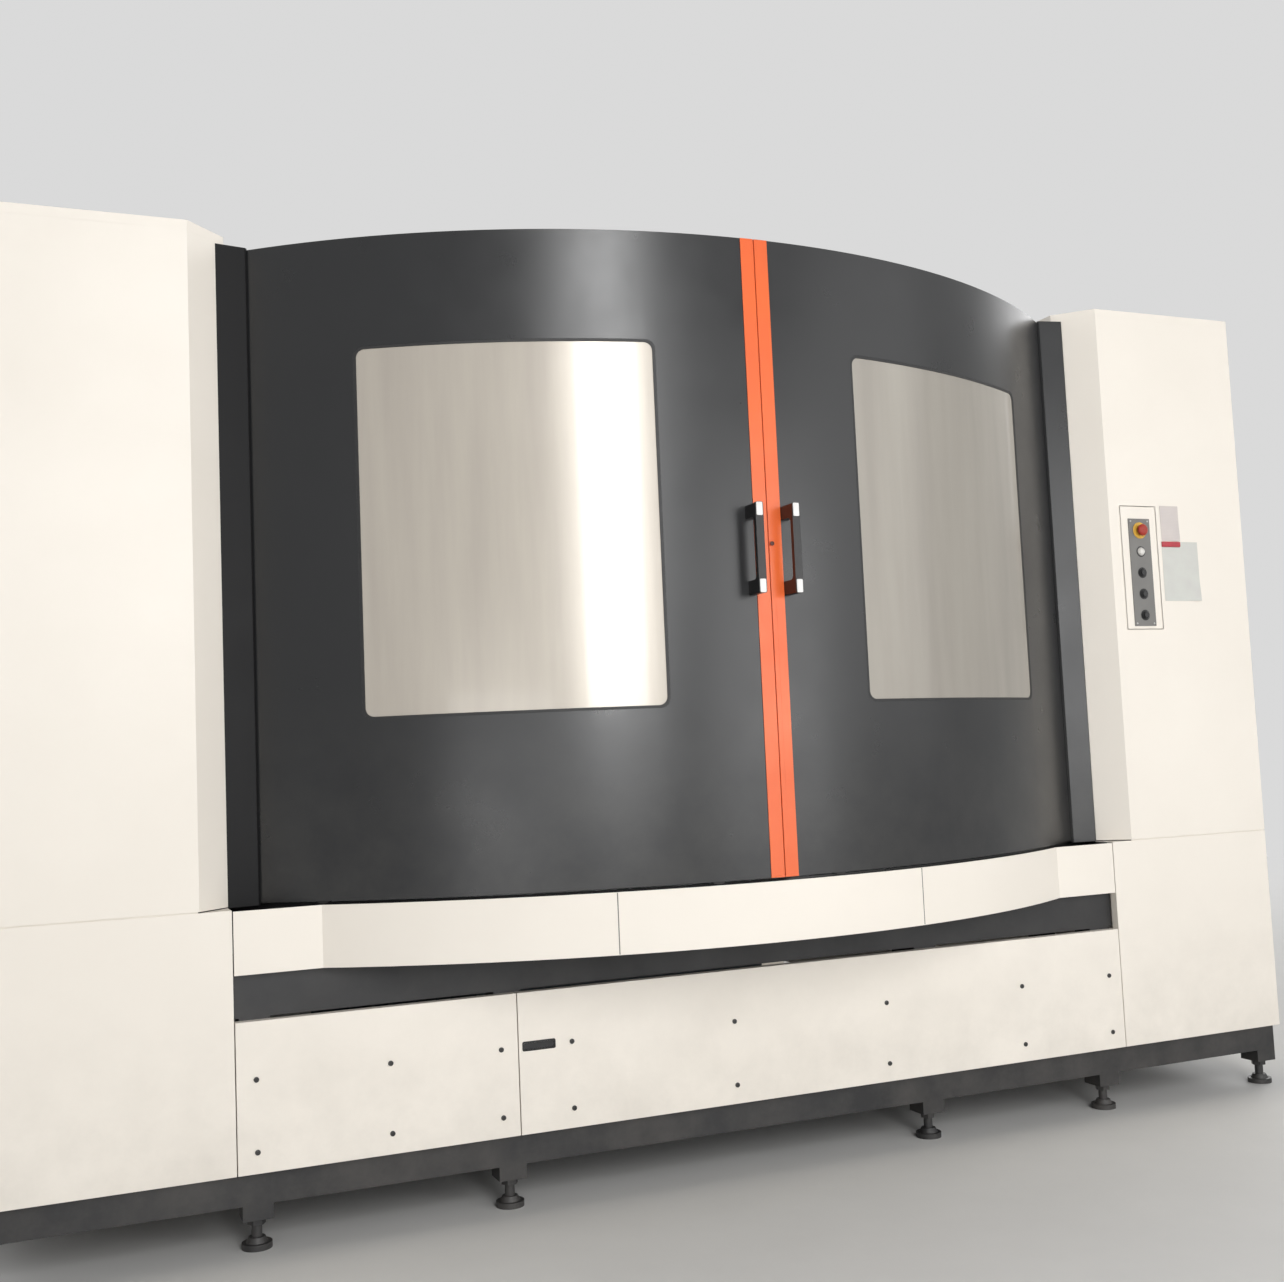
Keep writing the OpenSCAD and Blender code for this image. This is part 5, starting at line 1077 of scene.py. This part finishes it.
roofSet = {
    "top": 2.762, "eyes": ((-1.28, 1.45), (1.28, 1.45), (-1.28, 4.12), (1.28, 4.12)), "eyeRadius": 0.028,
    "eyeWire": 0.009, "seams": (2.20, 3.30), "halfWidth": 1.497, "strip": 0.003, "proud": 0.0006,
    "sink": 0.001, "round": 0.0002, "screw": 0.0065, "screwHeight": 0.003,
    "screwAcross": (-1.46, -0.73, 0, 0.73, 1.46), "screwDepths": (2.17, 2.23, 3.27, 3.33, 4.25),
    "columnScrews": ((2.10, (0.06, 0.65, 1.24)), (1.60, (0.65, 1.24))),  # on both columns
}


def addRoofSet(s):
    top = s["top"]
    eye = modelEye(s["eyeRadius"], s["eyeWire"])
    places = [Vector((x, depth(d), top)) for x, d in s["eyes"]]
    lay(eye, "roofEyes", places, "zincSteel")
    w, half = s["strip"] / 2, s["halfWidth"]
    seam = startBlock("seamModel", (-half, -w, -s["sink"]), (half, w, s["proud"]))
    softenEdges(seam, s["round"], 1, along(sideways, 0.1))
    places = [Vector((0, depth(d), top)) for d in s["seams"]]
    lay(seam, "roofSeams", places, "seamGrey")
    screw = modelScrew(s["screw"], s["screwHeight"])
    places = [Vector((x, depth(d), top)) for x in s["screwAcross"] for d in s["screwDepths"]]
    for sign in (-1, 1):
        for x, depths in s["columnScrews"]:
            places += [Vector((sign * x, depth(d), top)) for d in depths]
    lay(screw, "roofScrews", places, "zincSteel")


addRoofSet(roofSet)

# Back: bolts round the flange of the duct

backSet = {
    "ductZ": 2.300, "ductRadius": 0.125, "flange": 4.308, "bolts": 8, "boltRadius": 0.007,
    "boltHeight": 0.006,
}


def addBackSet(s):
    bolt = modelBolt(s["boltRadius"], s["boltHeight"])
    spots = []
    for i in range(s["bolts"]):
        a = math.radians((i + 0.5) * 360 / s["bolts"])
        x, z = s["ductRadius"] * math.cos(a), s["ductZ"] + s["ductRadius"] * math.sin(a)
        spots.append(facing(backwards, (x, depth(s["flange"]), z)))
    lay(bolt, "ductBolts", spots, "zincSteel")


addBackSet(backSet)
print("roof and back pieces made")


# Studio: pale floor that runs into the backdrop, soft boxes and a plain world

studio = {
    "floor": (0.70, 0.695, 0.68), "floorShade": 0.96, "floorRough": 0.7, "floorSize": 60,
    "fade": (4.6, 10.5),  # how far out the floor starts to fade and where it is all backdrop
    "backdrop": 0.70,
    "worldStrength": 0.12,
    "boxes": [
        # name, place, size, power, target
        ("frontStrip", (-0.75, -9.6, 3.7), (1.6, 4.8), 328, (-0.2, -2.0, 1.9)),
        ("highBox", (-7.0, -11.5, 13.0), (6.0, 5.0), 70, (0.0, -2.0, 1.6)),
        ("lowBox", (3.3, -9.0, 2.0), (3.2, 3.0), 110, (0.6, -2.0, 1.6)),
        ("lowLeftBox", (-3.6, -8.8, 1.0), (2.6, 1.6), 36, (-0.8, -2.0, 1.2)),
        ("sideBox", (6.0, -7.0, 3.4), (4.0, 4.4), 55, (1.0, -1.6, 1.8)),
        ("edgeBox", (9.6, -0.2, 5.2), (3.0, 4.0), 95, (1.5, -1.9, 1.8)),
        ("leftBox", (-10.0, 2.6, 4.6), (5.0, 5.0), 300, (-2.0, 0.2, 1.2)),
        ("rightBox", (10.6, 3.8, 4.6), (5.0, 5.0), 270, (2.0, 0.4, 1.2)),
        ("topBox", (0, 0.4, 7.8), (7.0, 7.0), 100, (0, 0.4, 0)),
        ("backBox", (-1.5, 11.0, 4.6), (6.0, 4.0), 260, (0, 2.0, 1.3)),
    ],
}


def grey(level):
    return (level, level, level, 1)


# The rays that see the backdrop itself, as against those that only gather light
def seenRays(tree):
    paths = addNode(tree, "LightPath")
    total = paths.outputs["Is Camera Ray"]
    for kind in ("Is Glossy Ray", "Is Transmission Ray"):
        total = combine(tree, "MAXIMUM", total, paths.outputs[kind])
    return total


def mixShaders(tree, factor, a, b, output):
    mix = addNode(tree, "MixShader")
    for i, value in enumerate((factor, a, b)):
        tree.links.new(value, mix.inputs[i])
    feed(tree, tree.nodes[output], Surface=mix.outputs["Shader"])


def addFloor(s):
    bpy.ops.mesh.primitive_circle_add(vertices=64, radius=s["floorSize"], fill_type="NGON")
    floor = bpy.context.object
    floor.name = "studioFloor"
    mat, tree, shader = newFinish("floorPaint")
    vector = objectCoords(tree)
    clouds = spread(tree, addNoise(tree, vector, scale=3, detail=6, roughness=0.6), 0, 1)
    shade = tuple(c * s["floorShade"] for c in s["floor"])
    feed(tree, shader, Base_Color=mixColours(tree, clouds, s["floor"], shade), Roughness=s["floorRough"])
    far = addNode(tree, "VectorMath", operation="LENGTH")
    tree.links.new(vector, far.inputs[0])
    fade = spread(tree, far.outputs["Value"], 0, 1, *s["fade"])
    glow = addNode(tree, "Emission", Color=grey(s["backdrop"]))
    mixShaders(tree, combine(tree, "MULTIPLY", fade, seenRays(tree)), shader.outputs["BSDF"],
               glow.outputs["Emission"], "Material Output")
    floor.data.materials.append(mat)


def addBoxLight(name, place, size, power, target):
    bpy.ops.object.light_add(type="AREA", location=place)
    lamp = bpy.context.object
    lamp.name = name
    lamp.data.shape = "RECTANGLE"
    lamp.data.size, lamp.data.size_y = size
    lamp.data.energy = power
    aim = (Vector(target) - Vector(place)).to_track_quat("-Z", "Y")
    lamp.rotation_euler = aim.to_euler()


def addWorld(s):
    world = bpy.data.worlds.new("studioWorld")
    bpy.context.scene.world = world
    world.use_nodes = True
    tree = world.node_tree
    light = tree.nodes["Background"]
    feed(tree, light, Color=grey(1), Strength=s["worldStrength"])
    back = addNode(tree, "Background", Color=grey(s["backdrop"]))
    mixShaders(tree, seenRays(tree), light.outputs["Background"], back.outputs["Background"], "World Output")


addFloor(studio)
for box in studio["boxes"]:
    addBoxLight(*box)
addWorld(studio)
bpy.context.scene.view_settings.view_transform = "Standard"
print("studio built")
